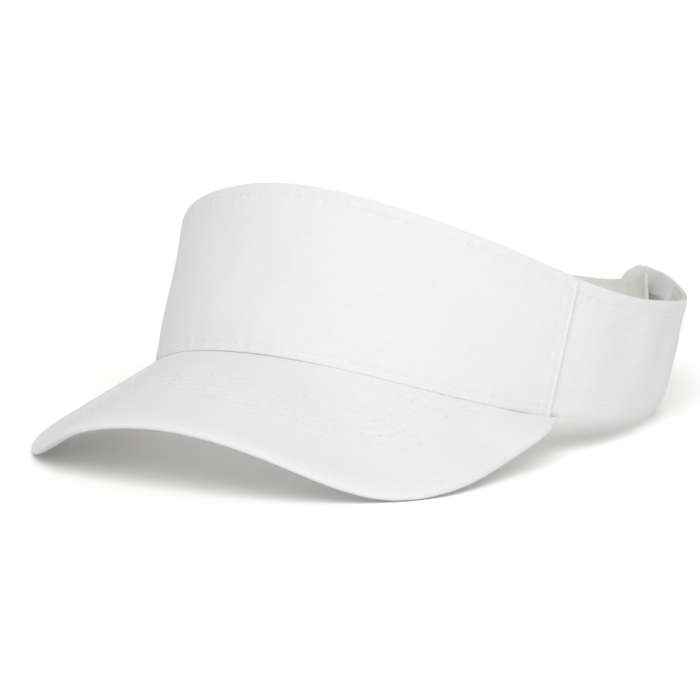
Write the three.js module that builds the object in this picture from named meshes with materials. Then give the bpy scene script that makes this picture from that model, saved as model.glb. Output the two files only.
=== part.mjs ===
// Open-crown sun visor, adult one size, in cotton twill, with a stiffened front, a pre-curved brim
// and a hook-and-loop closure at the rear. Millimetres, +Z up, brim towards -Y, wearer's left is +X.
// It stands as it does on a table: on the two low corners of the brim and the lower rear of the band.
import * as THREE from "three";

// ---------------------------------------------------------------- driving dimensions
// Plan of the band's lower and upper edges: half width, and reach to the front and to the rear.
const LOWER = { half: 82.57, front: 98.88, rear: 97.84, shift: 0 };
const UPPER = { half: 85.59, front: 88.0, rear: 98.48, shift: 14.08 };
// Heights of the two edges against the angle from the front, in degrees.
const LOWER_Z = [[0, 38.21], [25, 33.68], [50, 22.87], [75, 12.35], [100, 5.2], [125, 0.25], [150, 6.0], [180, 10.0]];
const UPPER_Z_LEFT = [[0, 91.26], [25, 85.11], [50, 70.86], [75, 54.02], [100, 44.06], [130, 39.05], [155, 42.3], [180, 43.5]];
const UPPER_Z_RIGHT = [[0, 91.26], [25, 85.11], [50, 70.86], [75, 54.02], [100, 44.06], [130, 37.6], [155, 35.6], [180, 35.0]];
const SEAM = { low: 68.54, high: 66.93 }; // side seam, degrees from the front at the two edges
const GAP = 0.3; // between neighbouring plies
const TWILL = 0.8; // one finished ply of the shell
const BACKING = 0.6;
const FACING = 0.6;
const LINING = 0.7;
const PAD = 1.1;
const SWEAT = 0.8;
const TAPE = 0.6;
const TAB = 1.3; // doubled twill
const HOOK = 0.9;
const LOOP = 0.9;
const BOARD = 1.6; // plastic brim insert
const COVER = 0.7; // brim cover ply
const SWEAT_HEIGHT = 30;
// Closure, degrees from the front, measured through the wearer's left.
const LEFT_PANEL_END = 137.6;
const LEFT_TAB = { from: 138.0, to: 164.0, low: 9.2 };
const STRAP = { from: 148.5, to: 231.0, high: 34.6, width: 25.4, rise: 6.4, level: 172 }; // it climbs towards its free end
const RIGHT_PANEL_END = 215.0;
// Brim: reach beyond the band's lower edge against the angle, as a fraction of its end angle.
const BRIM_END = 71.45;
const BRIM_REACH = [[0, 55.5], [0.2, 56.7], [0.4, 50.5], [0.55, 41.7], [0.7, 25.4], [0.86, 13.45], [1, 0]];
const BRIM_EDGE_Z = [[0, 21.6], [0.2, 15.7], [0.4, 2.02], [0.55, 1.7], [0.7, 5.65], [0.86, 10.9], [1, 11.9]]; // mid-plane at the rim

// ---------------------------------------------------------------- curves
const RAD = Math.PI / 180;

// A cubic through the knots with flat or natural ends.
function cubic(knots, flatEnds = true) {
  const n = knots.length, x = knots.map((k) => k[0]), y = knots.map((k) => k[1]);
  const h = x.slice(1).map((v, i) => v - x[i]);
  const a = new Array(n).fill(0), b = new Array(n).fill(1), c = new Array(n).fill(0), d = new Array(n).fill(0);
  for (let i = 1; i < n - 1; i++) {
    a[i] = h[i - 1]; b[i] = 2 * (h[i - 1] + h[i]); c[i] = h[i];
    d[i] = 6 * ((y[i + 1] - y[i]) / h[i] - (y[i] - y[i - 1]) / h[i - 1]);
  }
  if (flatEnds) {
    b[0] = 2 * h[0]; c[0] = h[0]; d[0] = (6 * (y[1] - y[0])) / h[0];
  }
  if (flatEnds === true) {
    a[n - 1] = h[n - 2]; b[n - 1] = 2 * h[n - 2]; d[n - 1] = (-6 * (y[n - 1] - y[n - 2])) / h[n - 2];
  }
  for (let i = 1; i < n; i++) {
    const m = a[i] / b[i - 1];
    b[i] -= m * c[i - 1]; d[i] -= m * d[i - 1];
  }
  const M = new Array(n);
  M[n - 1] = d[n - 1] / b[n - 1];
  for (let i = n - 2; i >= 0; i--) M[i] = (d[i] - c[i] * M[i + 1]) / b[i];
  return (t) => {
    let i = 0;
    while (i < n - 2 && t > x[i + 1]) i++;
    const u = x[i + 1] - t, v = t - x[i];
    return (M[i] * u ** 3 + M[i + 1] * v ** 3) / (6 * h[i]) + (y[i] / h[i] - (M[i] * h[i]) / 6) * u + (y[i + 1] / h[i] - (M[i + 1] * h[i]) / 6) * v;
  };
}
const lowerZ = cubic(LOWER_Z), upperLeft = cubic(UPPER_Z_LEFT), upperRight = cubic(UPPER_Z_RIGHT);
const reach = cubic(BRIM_REACH, "start"), brimEdgeZ = cubic(BRIM_EDGE_Z, "start");

const wrap = (deg) => (deg > 180 ? deg - 360 : deg);
function edge(deg, e, z) {
  const s = Math.sin(deg * RAD), c = Math.cos(deg * RAD);
  return new THREE.Vector3(e.half * s, e.shift - (c > 0 ? e.front : e.rear) * c, z);
}
// Height of the band's edges at an angle; beyond 180 degrees it is the wearer's right side.
const zLow = (deg) => lowerZ(Math.abs(wrap(deg)));
const zHigh = (deg) => (wrap(deg) >= 0 ? upperLeft(Math.abs(wrap(deg))) : upperRight(Math.abs(wrap(deg))));
// The strap runs on one smooth pair of edges, so it takes its heights from itself.
function bandPoint(deg, t) {
  const lo = edge(deg, LOWER, zLow(deg)), hi = edge(deg, UPPER, zHigh(deg));
  return lo.lerp(hi, t);
}
// On the ruled line at an angle, the point at a height.
function bandAt(deg, z) {
  const lo = edge(deg, LOWER, zLow(deg)), hi = edge(deg, UPPER, upperLeft(Math.abs(wrap(deg))));
  return lo.lerp(hi, (z - lo.z) / (hi.z - lo.z));
}
function outward(fn, deg, v, dv) {
  const du = fn(deg + 0.5, v).sub(fn(deg - 0.5, v));
  const dw = fn(deg, v + dv).sub(fn(deg, v - dv));
  return du.cross(dw).normalize();
}
const seam = (t) => SEAM.low + (SEAM.high - SEAM.low) * t;

// A point of the band, a depth below its outer surface.
function inBand(deg, t, depth) {
  return bandPoint(deg, t).addScaledVector(outward(bandPoint, deg, t, 0.02), -depth);
}
function inBandAt(deg, z, depth) {
  return bandAt(deg, z).addScaledVector(outward(bandAt, deg, z, 1), -depth);
}

// ---------------------------------------------------------------- solids
// A ply is a box with nu by nv faces that is bent onto its curve: u runs along, v up and w through it.
function ply(nu, nv, at) {
  const g = new THREE.BoxGeometry(1, 1, 1, nu, nv, 1);
  g.deleteAttribute("uv");
  const p = g.attributes.position, q = new THREE.Vector3();
  for (let i = 0; i < p.count; i++) {
    q.fromBufferAttribute(p, i).addScalar(0.5);
    const r = at(Math.round(q.x * nu) / nu, Math.round(q.y * nv) / nv, Math.round(q.z));
    p.setXYZ(i, r.x, r.y, r.z);
  }
  let volume = 0;
  const a = new THREE.Vector3(), b = new THREE.Vector3(), c = new THREE.Vector3(), index = g.index;
  for (let i = 0; i < index.count; i += 3) {
    a.fromBufferAttribute(p, index.getX(i)); b.fromBufferAttribute(p, index.getX(i + 1)); c.fromBufferAttribute(p, index.getX(i + 2));
    volume += a.dot(b.cross(c));
  }
  if (volume < 0)
    for (let i = 0; i < index.count; i += 3) {
      const k = index.getX(i);
      index.setX(i, index.getX(i + 1)); index.setX(i + 1, k);
    }
  g.computeVertexNormals();
  return g;
}
const mix = (a, b, u) => a + (b - a) * u;
const group = new THREE.Group();
group.name = "sun_visor";
function add(name, geometry, color, roughness = 0.9) {
  const mesh = new THREE.Mesh(geometry, new THREE.MeshStandardMaterial({ color, roughness, metalness: 0 }));
  mesh.name = name;
  group.add(mesh);
}

// A ply of the band from angle a to b (each may depend on t), t0 to t1 up it, depth d0 to d1 below the outer surface.
function bandPly(nu, nv, a, b, t0, t1, d0, d1) {
  const f = (v, t) => (typeof v === "function" ? v(t) : v);
  return ply(nu, nv, (u, v, w) => {
    const t = mix(t0, t1, v);
    return inBand(mix(f(a, t), f(b, t), u), t, mix(d0, d1, w));
  });
}
// front, from seam to seam
add("front_panel", bandPly(44, 5, (t) => -seam(t) + 0.15, (t) => seam(t) - 0.15, 0, 1, 0, TWILL), 0xf4f4f3);
let d = TWILL + GAP;
add("front_backing", bandPly(32, 4, (t) => -seam(t) + 1.2, (t) => seam(t) - 1.2, 0.07, 0.97, d, d + BACKING), 0xd9dad6);
d += BACKING + GAP;
add("front_facing", bandPly(32, 4, (t) => -seam(t) + 1.2, (t) => seam(t) - 1.2, 0.07, 0.985, d, d + FACING), 0xe9e9e6);
d += FACING + GAP;
const INNER = d; // depth of the first free layer inside the front

// side panels and their linings
add("side_panel_left", bandPly(18, 4, (t) => seam(t) + 0.15, LEFT_PANEL_END, 0, 1, 0, TWILL), 0xf1f1f0);
add("side_lining_left", bandPly(18, 3, (t) => seam(t) + 1.0, LEFT_PANEL_END - 1.0, 0.04, 0.96, TWILL + GAP, TWILL + GAP + LINING), 0xe4e4e0);
add("side_panel_right", bandPly(20, 4, RIGHT_PANEL_END, (t) => 360 - seam(t) - 0.15, 0, 1, 0, TWILL), 0xf1f1f0);
add("side_lining_right", bandPly(20, 3, RIGHT_PANEL_END + 1.0, (t) => 360 - seam(t) - 1.0, 0.04, 0.96, TWILL + GAP, TWILL + GAP + LINING), 0xe4e4e0);

// tape over each side seam, on the inside
for (const [name, side] of [["seam_tape_left", 1], ["seam_tape_right", -1]])
  add(name, bandPly(4, 4, (t) => side * seam(t) - 4.2, (t) => side * seam(t) + 4.2, 0.05, 0.95, INNER, INNER + TAPE), 0xe2e2de);

// sweatband along the lower inside of the front: a soft strip with its face over it
function sweatPly(nu, nv, end, h0, h1, d0, d1) {
  return ply(nu, nv, (u, v, w) => {
    const deg = mix(-end, end, u);
    const tall = bandPoint(deg, 1).distanceTo(bandPoint(deg, 0));
    return inBand(deg, Math.min(mix(h0, h1, v) / tall, 0.93), mix(d0, d1, w));
  });
}
add("sweatband_pad", sweatPly(32, 3, 61.5, 2.0, SWEAT_HEIGHT - 1.5, INNER, INNER + PAD), 0xe6e6e2);
add("sweatband", sweatPly(32, 3, 62.3, 0.8, SWEAT_HEIGHT, INNER + PAD + GAP, INNER + PAD + GAP + SWEAT), 0xececea);

// closure on the wearer's left: the outer tab with a rounded free end, and its hook strip
const TAB_CORNER = 7; // degrees over which the free end rounds off
function tabEdges(deg) {
  const k = Math.max(0, (deg - (LEFT_TAB.to - TAB_CORNER)) / TAB_CORNER);
  const round = 9 * (1 - Math.sqrt(Math.max(0, 1 - k * k)));
  const s = Math.min(1, Math.max(0, (deg - LEFT_TAB.from) / 14)), ease = s * s * (3 - 2 * s);
  return [mix(zLow(deg), LEFT_TAB.low, ease) + round, zHigh(deg) - round];
}
add("closure_tab_left", ply(16, 4, (u, v, w) => {
  const deg = mix(LEFT_TAB.from, LEFT_TAB.to, u), [lo, hi] = tabEdges(deg);
  return inBandAt(deg, mix(lo, hi, v), w * TAB);
}), 0xefefee);
const hookDepth = TAB + GAP, loopDepth = hookDepth + HOOK + GAP, strapDepth = loopDepth + LOOP + GAP;
add("hook_tape", ply(10, 2, (u, v, w) => inBandAt(mix(143.5, 161.0, u), mix(12.5, 33.5, v), hookDepth + w * HOOK)), 0xdedede, 0.7);

// closure on the wearer's right: a strap that is sewn inside the right panel, crosses the rear and lies inside the tab
function strapAt(deg, z, depth) {
  const s = Math.min(1, Math.max(0, (deg - 196) / 18)), ease = s * s * (3 - 2 * s);
  const off = Math.max(0, (156.5 - deg) / 8); // the free end stands away from the tab
  return inBandAt(deg, z, mix(strapDepth, TWILL + LINING + 2 * GAP + 0.05, ease) + 2.2 * off * off + depth);
}
function strapHigh(deg) {
  const k = Math.max(0, (STRAP.level - deg) / (STRAP.level - STRAP.from));
  return STRAP.high + STRAP.rise * k * k;
}
function strapEdges(deg) {
  const k = Math.max(0, (STRAP.from + 5 - deg) / 5), round = 6 * (1 - Math.sqrt(Math.max(0, 1 - k * k)));
  const high = strapHigh(deg);
  return [high - STRAP.width + round, high - round];
}
add("closure_strap_right", ply(26, 3, (u, v, w) => {
  const deg = mix(STRAP.from, STRAP.to, u), [lo, hi] = strapEdges(deg);
  return strapAt(deg, mix(lo, hi, v), w * TAB);
}), 0xefefee);
add("loop_tape", ply(18, 2, (u, v, w) => {
  const deg = mix(156.5, 193.0, u), high = strapHigh(deg);
  return inBandAt(deg, mix(high - STRAP.width + 2.2, high - 2.2, v), loopDepth + w * LOOP);
}), 0xe8e8e8, 0.95);

// ---------------------------------------------------------------- brim
function brimEdge(deg) {
  const s = Math.sin(deg * RAD), c = Math.cos(deg * RAD);
  const n = new THREE.Vector2(s / LOWER.half, -c / LOWER.front).normalize();
  const k = Math.min(1, Math.abs(deg) / BRIM_END), e = Math.max(0, reach(k));
  return new THREE.Vector3(LOWER.half * s + n.x * e, -LOWER.front * c + n.y * e, brimEdgeZ(k));
}
const BRIM_DROP = 1.25; // from the panel edge down to the brim, at the outer face
const BRIM_TUCK = 2.6; // how far the brim runs in under the front panel
// The brim's mid-plane is ruled from its tucked inner edge to its rim.
function brimTuck(deg) {
  const inner = bandPoint(deg, 0), outer = brimEdge(deg);
  inner.z -= BRIM_DROP + 1.3 * Math.max(0, (Math.abs(deg) - 54) / 16) ** 2 + BOARD / 2 + GAP + COVER;
  const across = Math.hypot(outer.x - inner.x, outer.y - inner.y);
  const slope = Math.min(0.45, Math.max(0, (inner.z - outer.z) / Math.max(across, 6)));
  inner.x -= Math.sin(deg * RAD) * BRIM_TUCK;
  inner.y += Math.cos(deg * RAD) * BRIM_TUCK;
  inner.z += slope * BRIM_TUCK;
  return inner;
}
const brimMid = (deg, s) => brimTuck(deg).lerp(brimEdge(deg), s);
function brimUp(deg, s) {
  const a = Math.min(BRIM_END - 1, Math.max(-BRIM_END + 1, deg)), m = Math.min(0.96, Math.max(0.12, s));
  const du = brimMid(a + 0.6, m).sub(brimMid(a - 0.6, m)), ds = brimMid(a, m + 0.03).sub(brimMid(a, m - 0.03));
  const n = ds.cross(du).normalize();
  return n.z < 0 ? n.negate() : n;
}
// Height of the four faces of the covers above the mid-plane, at a distance in from the rim.
function rimFaces(inFromRim) {
  const k = Math.min(1, inFromRim / 5), ease = Math.sqrt(1 - (1 - k) * (1 - k));
  const under = mix(0.16, BOARD / 2 + GAP, Math.min(1, Math.max(0, (inFromRim - 0.8) / 2.2)));
  const over = mix(0.55, BOARD / 2 + GAP + COVER, ease);
  return [under, Math.max(over, under + 0.35)];
}
const BRIM_SIDE = BRIM_END - 0.6;
const brimLength = (deg) => brimTuck(deg).distanceTo(brimEdge(deg));
function coverPly(side) {
  const rows = 8;
  return ply(44, rows, (u, v, w) => {
    const deg = mix(-BRIM_SIDE, BRIM_SIDE, u), L = brimLength(deg);
    const i = Math.round(v * rows);
    const rim = [0, 0.9, 2.4, 5.2].map((x) => Math.min(x, (L * (0.9 * x)) / 6.5));
    const inFrom = i >= rows - 3 ? rim[rows - i] : mix(L, rim[3], i / (rows - 3));
    const [a, b] = rimFaces(inFrom);
    const s = 1 - inFrom / L;
    return brimMid(deg, s).addScaledVector(brimUp(deg, s), side * (w ? b : a));
  });
}
add("brim_top_cover", coverPly(1), 0xf0f0ef);
add("brim_under_cover", coverPly(-1), 0xe8e8e6);
const BOARD_SIDE = BRIM_END - 9;
add("brim_board", ply(36, 5, (u, v, w) => {
  const deg = mix(-BOARD_SIDE, BOARD_SIDE, u), L = brimLength(deg);
  const s = mix(BRIM_TUCK / L, 1 - 4.2 / L, v);
  return brimMid(deg, s).addScaledVector(brimUp(deg, s), (w - 0.5) * BOARD);
}), 0xd8dad8, 0.5);

// The frame's origin is under the middle of the whole visor, on the surface it stands on.
const extent = new THREE.Box3().setFromObject(group, true);
group.position.set(0, -(extent.min.y + extent.max.y) / 2, -extent.min.z);

export default group;
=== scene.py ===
import math
import bpy
import numpy as np
from mathutils import Matrix, Vector


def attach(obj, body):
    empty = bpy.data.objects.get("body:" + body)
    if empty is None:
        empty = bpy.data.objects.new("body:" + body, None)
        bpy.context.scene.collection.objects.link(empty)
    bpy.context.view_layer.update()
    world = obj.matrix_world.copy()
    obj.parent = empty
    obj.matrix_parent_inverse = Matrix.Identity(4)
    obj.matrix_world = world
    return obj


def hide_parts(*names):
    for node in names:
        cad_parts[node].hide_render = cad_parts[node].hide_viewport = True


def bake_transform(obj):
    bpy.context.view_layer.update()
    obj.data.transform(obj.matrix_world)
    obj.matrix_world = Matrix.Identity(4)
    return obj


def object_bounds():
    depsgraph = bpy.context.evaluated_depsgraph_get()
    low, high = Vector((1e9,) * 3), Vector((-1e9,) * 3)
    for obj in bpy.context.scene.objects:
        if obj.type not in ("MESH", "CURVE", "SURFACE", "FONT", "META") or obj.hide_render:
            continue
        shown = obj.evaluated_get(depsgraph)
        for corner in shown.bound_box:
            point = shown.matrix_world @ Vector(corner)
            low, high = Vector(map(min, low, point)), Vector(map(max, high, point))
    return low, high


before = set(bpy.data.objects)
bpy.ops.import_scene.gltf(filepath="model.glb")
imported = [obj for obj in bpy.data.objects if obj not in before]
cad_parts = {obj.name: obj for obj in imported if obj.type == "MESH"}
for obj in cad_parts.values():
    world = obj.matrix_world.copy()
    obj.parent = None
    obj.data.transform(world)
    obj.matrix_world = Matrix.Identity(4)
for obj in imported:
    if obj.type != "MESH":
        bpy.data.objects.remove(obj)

CAD_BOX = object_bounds()

# ------------------------------------------------------------------ dimensions, mm and degrees
SHIFT = np.array([0.0, 23.97771, -0.23470])  # from the band's own centre to the row frame
LOWER = dict(half=82.57, front=98.88, rear=97.84, shift=0.0)
UPPER = dict(half=85.59, front=88.0, rear=98.48, shift=14.08)
LOWER_Z = [[0, 38.21], [25, 33.68], [50, 22.87], [75, 12.35], [100, 5.2], [125, 0.25], [150, 6.0], [180, 10.0]]
UPPER_Z_LEFT = [[0, 91.26], [25, 85.11], [50, 70.86], [75, 54.02], [100, 44.06], [130, 39.05], [155, 42.3], [180, 43.5]]
UPPER_Z_RIGHT = [[0, 91.26], [25, 85.11], [50, 70.86], [75, 54.02], [100, 44.06], [130, 37.6], [155, 35.6], [180, 35.0]]
SEAM_LOW, SEAM_HIGH = 68.54, 66.93
TWILL = 0.8
INNER = 2.9
LEFT_PANEL_END = 137.6
TAB_FROM, TAB_TO, TAB_LOW = 138.0, 164.6, 9.2
STRAP_FROM, STRAP_TO, STRAP_HIGH, STRAP_WIDTH, STRAP_RISE, STRAP_LEVEL = 145.4, 231.0, 33.8, 25.4, 7.6, 172.0
RIGHT_PANEL_END = 215.0
TAB, HOOK, LOOP, GAP, LINING = 1.3, 0.9, 0.9, 0.3, 0.7
BRIM_END = 71.45
BRIM_REACH = [[0, 55.5], [0.2, 56.7], [0.4, 50.5], [0.55, 41.7], [0.7, 25.4], [0.86, 13.45], [1, 0]]
BRIM_EDGE_Z = [[0, 21.6], [0.2, 15.7], [0.4, 2.02], [0.55, 1.7], [0.7, 5.65], [0.86, 10.9], [1, 11.9]]
BRIM_DROP, BRIM_TUCK, BOARD, COVER = 1.25, 2.6, 1.6, 0.7
PITCH = 1.75  # one stitch


# ------------------------------------------------------------------ curves and surfaces
def cubic(knots, ends="both"):
    x = np.array([k[0] for k in knots], float)
    y = np.array([k[1] for k in knots], float)
    n, h = len(x), np.diff(x)
    A, d = np.zeros((n, n)), np.zeros(n)
    for i in range(1, n - 1):
        A[i, i - 1], A[i, i], A[i, i + 1] = h[i - 1], 2 * (h[i - 1] + h[i]), h[i]
        d[i] = 6 * ((y[i + 1] - y[i]) / h[i] - (y[i] - y[i - 1]) / h[i - 1])
    A[0, 0], A[0, 1], d[0] = 2 * h[0], h[0], 6 * (y[1] - y[0]) / h[0]
    if ends == "both":
        A[-1, -2], A[-1, -1], d[-1] = h[-1], 2 * h[-1], -6 * (y[-1] - y[-2]) / h[-1]
    else:
        A[-1, -1] = 1
    m = np.linalg.solve(A, d)

    def f(t):
        t = np.asarray(t, float)
        i = np.clip(np.searchsorted(x, t, side="left") - 1, 0, n - 2)
        u, v, hh = x[i + 1] - t, t - x[i], h[i]
        return (m[i] * u ** 3 + m[i + 1] * v ** 3) / (6 * hh) + (y[i] / hh - m[i] * hh / 6) * u + (y[i + 1] / hh - m[i + 1] * hh / 6) * v

    return f


lower_z, upper_left, upper_right = cubic(LOWER_Z), cubic(UPPER_Z_LEFT), cubic(UPPER_Z_RIGHT)
reach = cubic(BRIM_REACH, "start")
brim_edge_z = cubic(BRIM_EDGE_Z, "start")
rad = np.radians


def smooth(x):
    x = np.clip(x, 0, 1)
    return x * x * (3 - 2 * x)


def unit(v):
    return v / np.maximum(np.linalg.norm(v, axis=-1, keepdims=True), 1e-12)


def wrapped(deg):
    return np.where(deg > 180, deg - 360, deg)


def edge(deg, e, z):
    s, c = np.sin(rad(deg)), np.cos(rad(deg))
    return np.stack([e["half"] * s, e["shift"] - np.where(c > 0, e["front"], e["rear"]) * c, z + 0 * s], -1)


def z_low(deg):
    return lower_z(np.abs(wrapped(deg)))


def z_high(deg):
    w = wrapped(deg)
    return np.where(w >= 0, upper_left(np.abs(w)), upper_right(np.abs(w)))


# Towards the rear the soft lower edge curls in a little where it bears on the table.
def curl(deg, h):
    w = np.abs(wrapped(deg))
    return 2.7 * smooth((w - 84) / 24) * smooth((172 - w) / 30) * np.clip(1 - h / 12.5, 0, 1) ** 2


def band(deg, t):
    deg, t = np.broadcast_arrays(np.asarray(deg, float), np.asarray(t, float))
    lo, hi = edge(deg, LOWER, z_low(deg)), edge(deg, UPPER, z_high(deg))
    c = curl(deg, t * (hi - lo)[..., 2] * 1.08)
    p = lo + (hi - lo) * t[..., None]
    return p - c[..., None] * np.stack([np.sin(rad(deg)), -np.cos(rad(deg)), 0 * deg], -1)


def band_z(deg, z):
    deg, z = np.broadcast_arrays(np.asarray(deg, float), np.asarray(z, float))
    lo, hi = edge(deg, LOWER, z_low(deg)), edge(deg, UPPER, upper_left(np.abs(wrapped(deg))))
    c = curl(deg, np.maximum(0, z - lo[..., 2]) * 1.08)
    p = lo + (hi - lo) * ((z - lo[..., 2]) / (hi[..., 2] - lo[..., 2]))[..., None]
    return p - c[..., None] * np.stack([np.sin(rad(deg)), -np.cos(rad(deg)), 0 * deg], -1)


def normal_of(fn, deg, v, dv):
    du = fn(deg + 0.5, v) - fn(deg - 0.5, v)
    dw = fn(deg, v + dv) - fn(deg, v - dv)
    return unit(np.cross(du, dw))


def in_band(deg, t, depth):
    return band(deg, t) - normal_of(band, deg, t, 0.02) * np.asarray(depth)[..., None]


def in_band_z(deg, z, depth):
    return band_z(deg, z) - normal_of(band_z, deg, z, 1.0) * np.asarray(depth)[..., None]


def seam_at(t):
    return SEAM_LOW + (SEAM_HIGH - SEAM_LOW) * t


def brim_edge(deg):
    s, c = np.sin(rad(deg)), np.cos(rad(deg))
    n = unit(np.stack([s / LOWER["half"], -c / LOWER["front"]], -1))
    k = np.minimum(1, np.abs(deg) / BRIM_END)
    e = np.maximum(0, reach(k)) + 1.4 * smooth((k - 0.93) / 0.06)  # the turned edge is carried a little past the seam
    return np.stack([LOWER["half"] * s + n[..., 0] * e, -LOWER["front"] * c + n[..., 1] * e, brim_edge_z(k)], -1)


def brim_tuck(deg):
    inner, outer = band(deg, 0.0 * deg), brim_edge(deg)
    inner[..., 2] -= BRIM_DROP + 1.3 * np.maximum(0, (np.abs(deg) - 54) / 16) ** 2 + BOARD / 2 + GAP + COVER
    across = np.hypot(outer[..., 0] - inner[..., 0], outer[..., 1] - inner[..., 1])
    slope = np.clip((inner[..., 2] - outer[..., 2]) / np.maximum(across, 6), 0, 0.45)
    inner[..., 0] -= np.sin(rad(deg)) * BRIM_TUCK
    inner[..., 1] += np.cos(rad(deg)) * BRIM_TUCK
    inner[..., 2] += slope * BRIM_TUCK
    return inner


def brim_mid(deg, s):
    deg, s = np.broadcast_arrays(np.asarray(deg, float), np.asarray(s, float))
    a, b = brim_tuck(deg), brim_edge(deg)
    return a + (b - a) * s[..., None]


def brim_up(deg, s):
    deg, s = np.broadcast_arrays(np.asarray(deg, float), np.asarray(s, float))
    a, m = np.clip(deg, -BRIM_END + 1, BRIM_END - 1), np.clip(s, 0.12, 0.96)
    n = unit(np.cross(brim_mid(a, m + 0.03) - brim_mid(a, m - 0.03), brim_mid(a + 0.6, m) - brim_mid(a - 0.6, m)))
    return np.where(n[..., 2:3] < 0, -n, n)


def brim_length(deg):
    return np.linalg.norm(brim_edge(deg) - brim_tuck(deg), axis=-1)


# Smooth seeded noise from a few waves, about -1 to 1.
def waves(x, y, seed, wavelength, count=9, spread=0.6):
    rng = np.random.default_rng(seed)
    out = 0 * (x + y)
    for _ in range(count):
        k = 2 * math.pi / (wavelength * math.exp(rng.uniform(-spread, spread)))
        a, p = rng.uniform(0, 2 * math.pi), rng.uniform(0, 2 * math.pi)
        out = out + np.sin(k * (x * math.cos(a) + y * math.sin(a)) + p)
    return out / math.sqrt(count / 2) / 1.6


def line_noise(s, seed, wavelength):
    return waves(s, 0 * s + 3.1 * seed, seed, wavelength, 7, 0.5)


# What a row of stitches does to the cloth, at a distance from the row and a length along it.
def stitched(dist, along, depth=0.07, width=0.6, seed=1, pucker=0.07, reach_mm=2.6):
    hole = 0.72 + 0.28 * np.cos(2 * math.pi * along / PITCH)
    groove = -depth * hole * np.exp(-((dist / width) ** 2))
    lips = 0.3 * depth * np.exp(-(((np.abs(dist) - 1.15) / 0.6) ** 2))
    pull = pucker * np.exp(-((dist / reach_mm) ** 2)) * line_noise(along, seed, 5.2)
    return groove + lips + pull


def steps(length, zones, fine, coarse):
    """Positions from 0 to length: fine inside the zones (from, to), coarse elsewhere."""
    at, out = 0.0, [0.0]
    while at < length - 1e-6:
        near = min([0.0 if a <= at < b else (a - at if at < a else 1e9) for a, b in zones] + [1e9])
        step = fine if near == 0 else min(coarse, max(fine, near))
        at = min(length, at + step)
        out.append(at)
    out = np.array(out)
    if len(out) > 2 and out[-1] - out[-2] < 0.4 * fine:
        out = np.delete(out, -2)
    return out / length


# ------------------------------------------------------------------ meshes
def to_frame(p):
    return (np.asarray(p) + SHIFT) * 0.001


def new_mesh(name, verts, faces, uv=None, material=None, smooth_shade=True, tags=None):
    """verts in mm; faces a list of index arrays, (n, 4) or (n, 3); uv one pair for each vertex, in mm."""
    verts = to_frame(verts).astype(np.float32)
    loops = np.concatenate([f.ravel() for f in faces]).astype(np.int32)
    totals = np.concatenate([np.full(len(f), f.shape[1], np.int32) for f in faces])
    starts = np.concatenate([[0], np.cumsum(totals)[:-1]]).astype(np.int32)
    me = bpy.data.meshes.new(name)
    me.vertices.add(len(verts))
    me.vertices.foreach_set("co", verts.ravel())
    me.loops.add(len(loops))
    me.loops.foreach_set("vertex_index", loops)
    me.polygons.add(len(totals))
    me.polygons.foreach_set("loop_start", starts)
    me.polygons.foreach_set("loop_total", totals)
    me.polygons.foreach_set("use_smooth", np.full(len(totals), smooth_shade, bool))
    if uv is not None:
        layer = me.uv_layers.new(name="cloth")
        layer.data.foreach_set("uv", (np.asarray(uv)[loops] * 0.001).astype(np.float32).ravel())
    me.update(calc_edges=True)
    me.validate()
    o = bpy.data.objects.new(name, me)
    bpy.context.scene.collection.objects.link(o)
    if material is not None:
        me.materials.append(material)
    return o


def face_normals_grid(P):
    du = np.gradient(P, axis=0)
    dv = np.gradient(P, axis=1)
    return unit(np.cross(du, dv))


def patch(name, O, I, UV, material, roll=1.0, rings=3):
    """A closed piece of cloth: outer grid O and inner grid I, each (nu, nv, 3), with turned edges between them."""
    nu, nv = O.shape[:2]
    idx = np.arange(nu * nv).reshape(nu, nv)
    quads_o = np.stack([idx[:-1, :-1], idx[1:, :-1], idx[1:, 1:], idx[:-1, 1:]], -1).reshape(-1, 4)
    quads_i = quads_o[:, ::-1] + nu * nv
    border = np.concatenate([idx[:-1, 0], idx[-1, :-1], idx[:0:-1, -1], idx[0, :0:-1]])
    Of, If, UVf = O.reshape(-1, 3), I.reshape(-1, 3), UV.reshape(-1, 2)
    # direction out of the patch at each border point
    M = (O + I) / 2
    eu0, eu1 = unit(M[0] - M[1]), unit(M[-1] - M[-2])
    ev0, ev1 = unit(M[:, 0] - M[:, 1]), unit(M[:, -1] - M[:, -2])
    out = np.zeros((nu, nv, 3))
    out[0] += eu0; out[-1] += eu1; out[:, 0] += ev0; out[:, -1] += ev1
    out = unit(out.reshape(-1, 3)[border])
    Bo, Bi = Of[border], If[border]
    mid, half = (Bo + Bi) / 2, (Bo - Bi) / 2
    r = np.linalg.norm(half, axis=1, keepdims=True) * roll
    verts, uvs, rows = [Of, If], [UVf, UVf], [border]
    base = 2 * nu * nv
    for k in range(1, rings + 1):
        th = math.pi * k / (rings + 1)
        verts.append(mid + half * math.cos(th) + out * r * math.sin(th))
        uvs.append(UVf[border])
        rows.append(base + np.arange(len(border)))
        base += len(border)
    rows.append(border + nu * nv)
    sides = []
    for a, b in zip(rows[:-1], rows[1:]):
        sides.append(np.stack([a, b, np.roll(b, -1), np.roll(a, -1)], -1))
    V = np.concatenate(verts)
    F = np.concatenate([quads_o, quads_i] + sides)
    tri = np.concatenate([F[:, [0, 1, 2]], F[:, [0, 2, 3]]])
    a, b, c = V[tri[:, 0]], V[tri[:, 1]], V[tri[:, 2]]
    if (a * np.cross(b, c)).sum() < 0:
        F = F[:, ::-1]
    return new_mesh(name, V, [F], np.concatenate(uvs), material)


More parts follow.
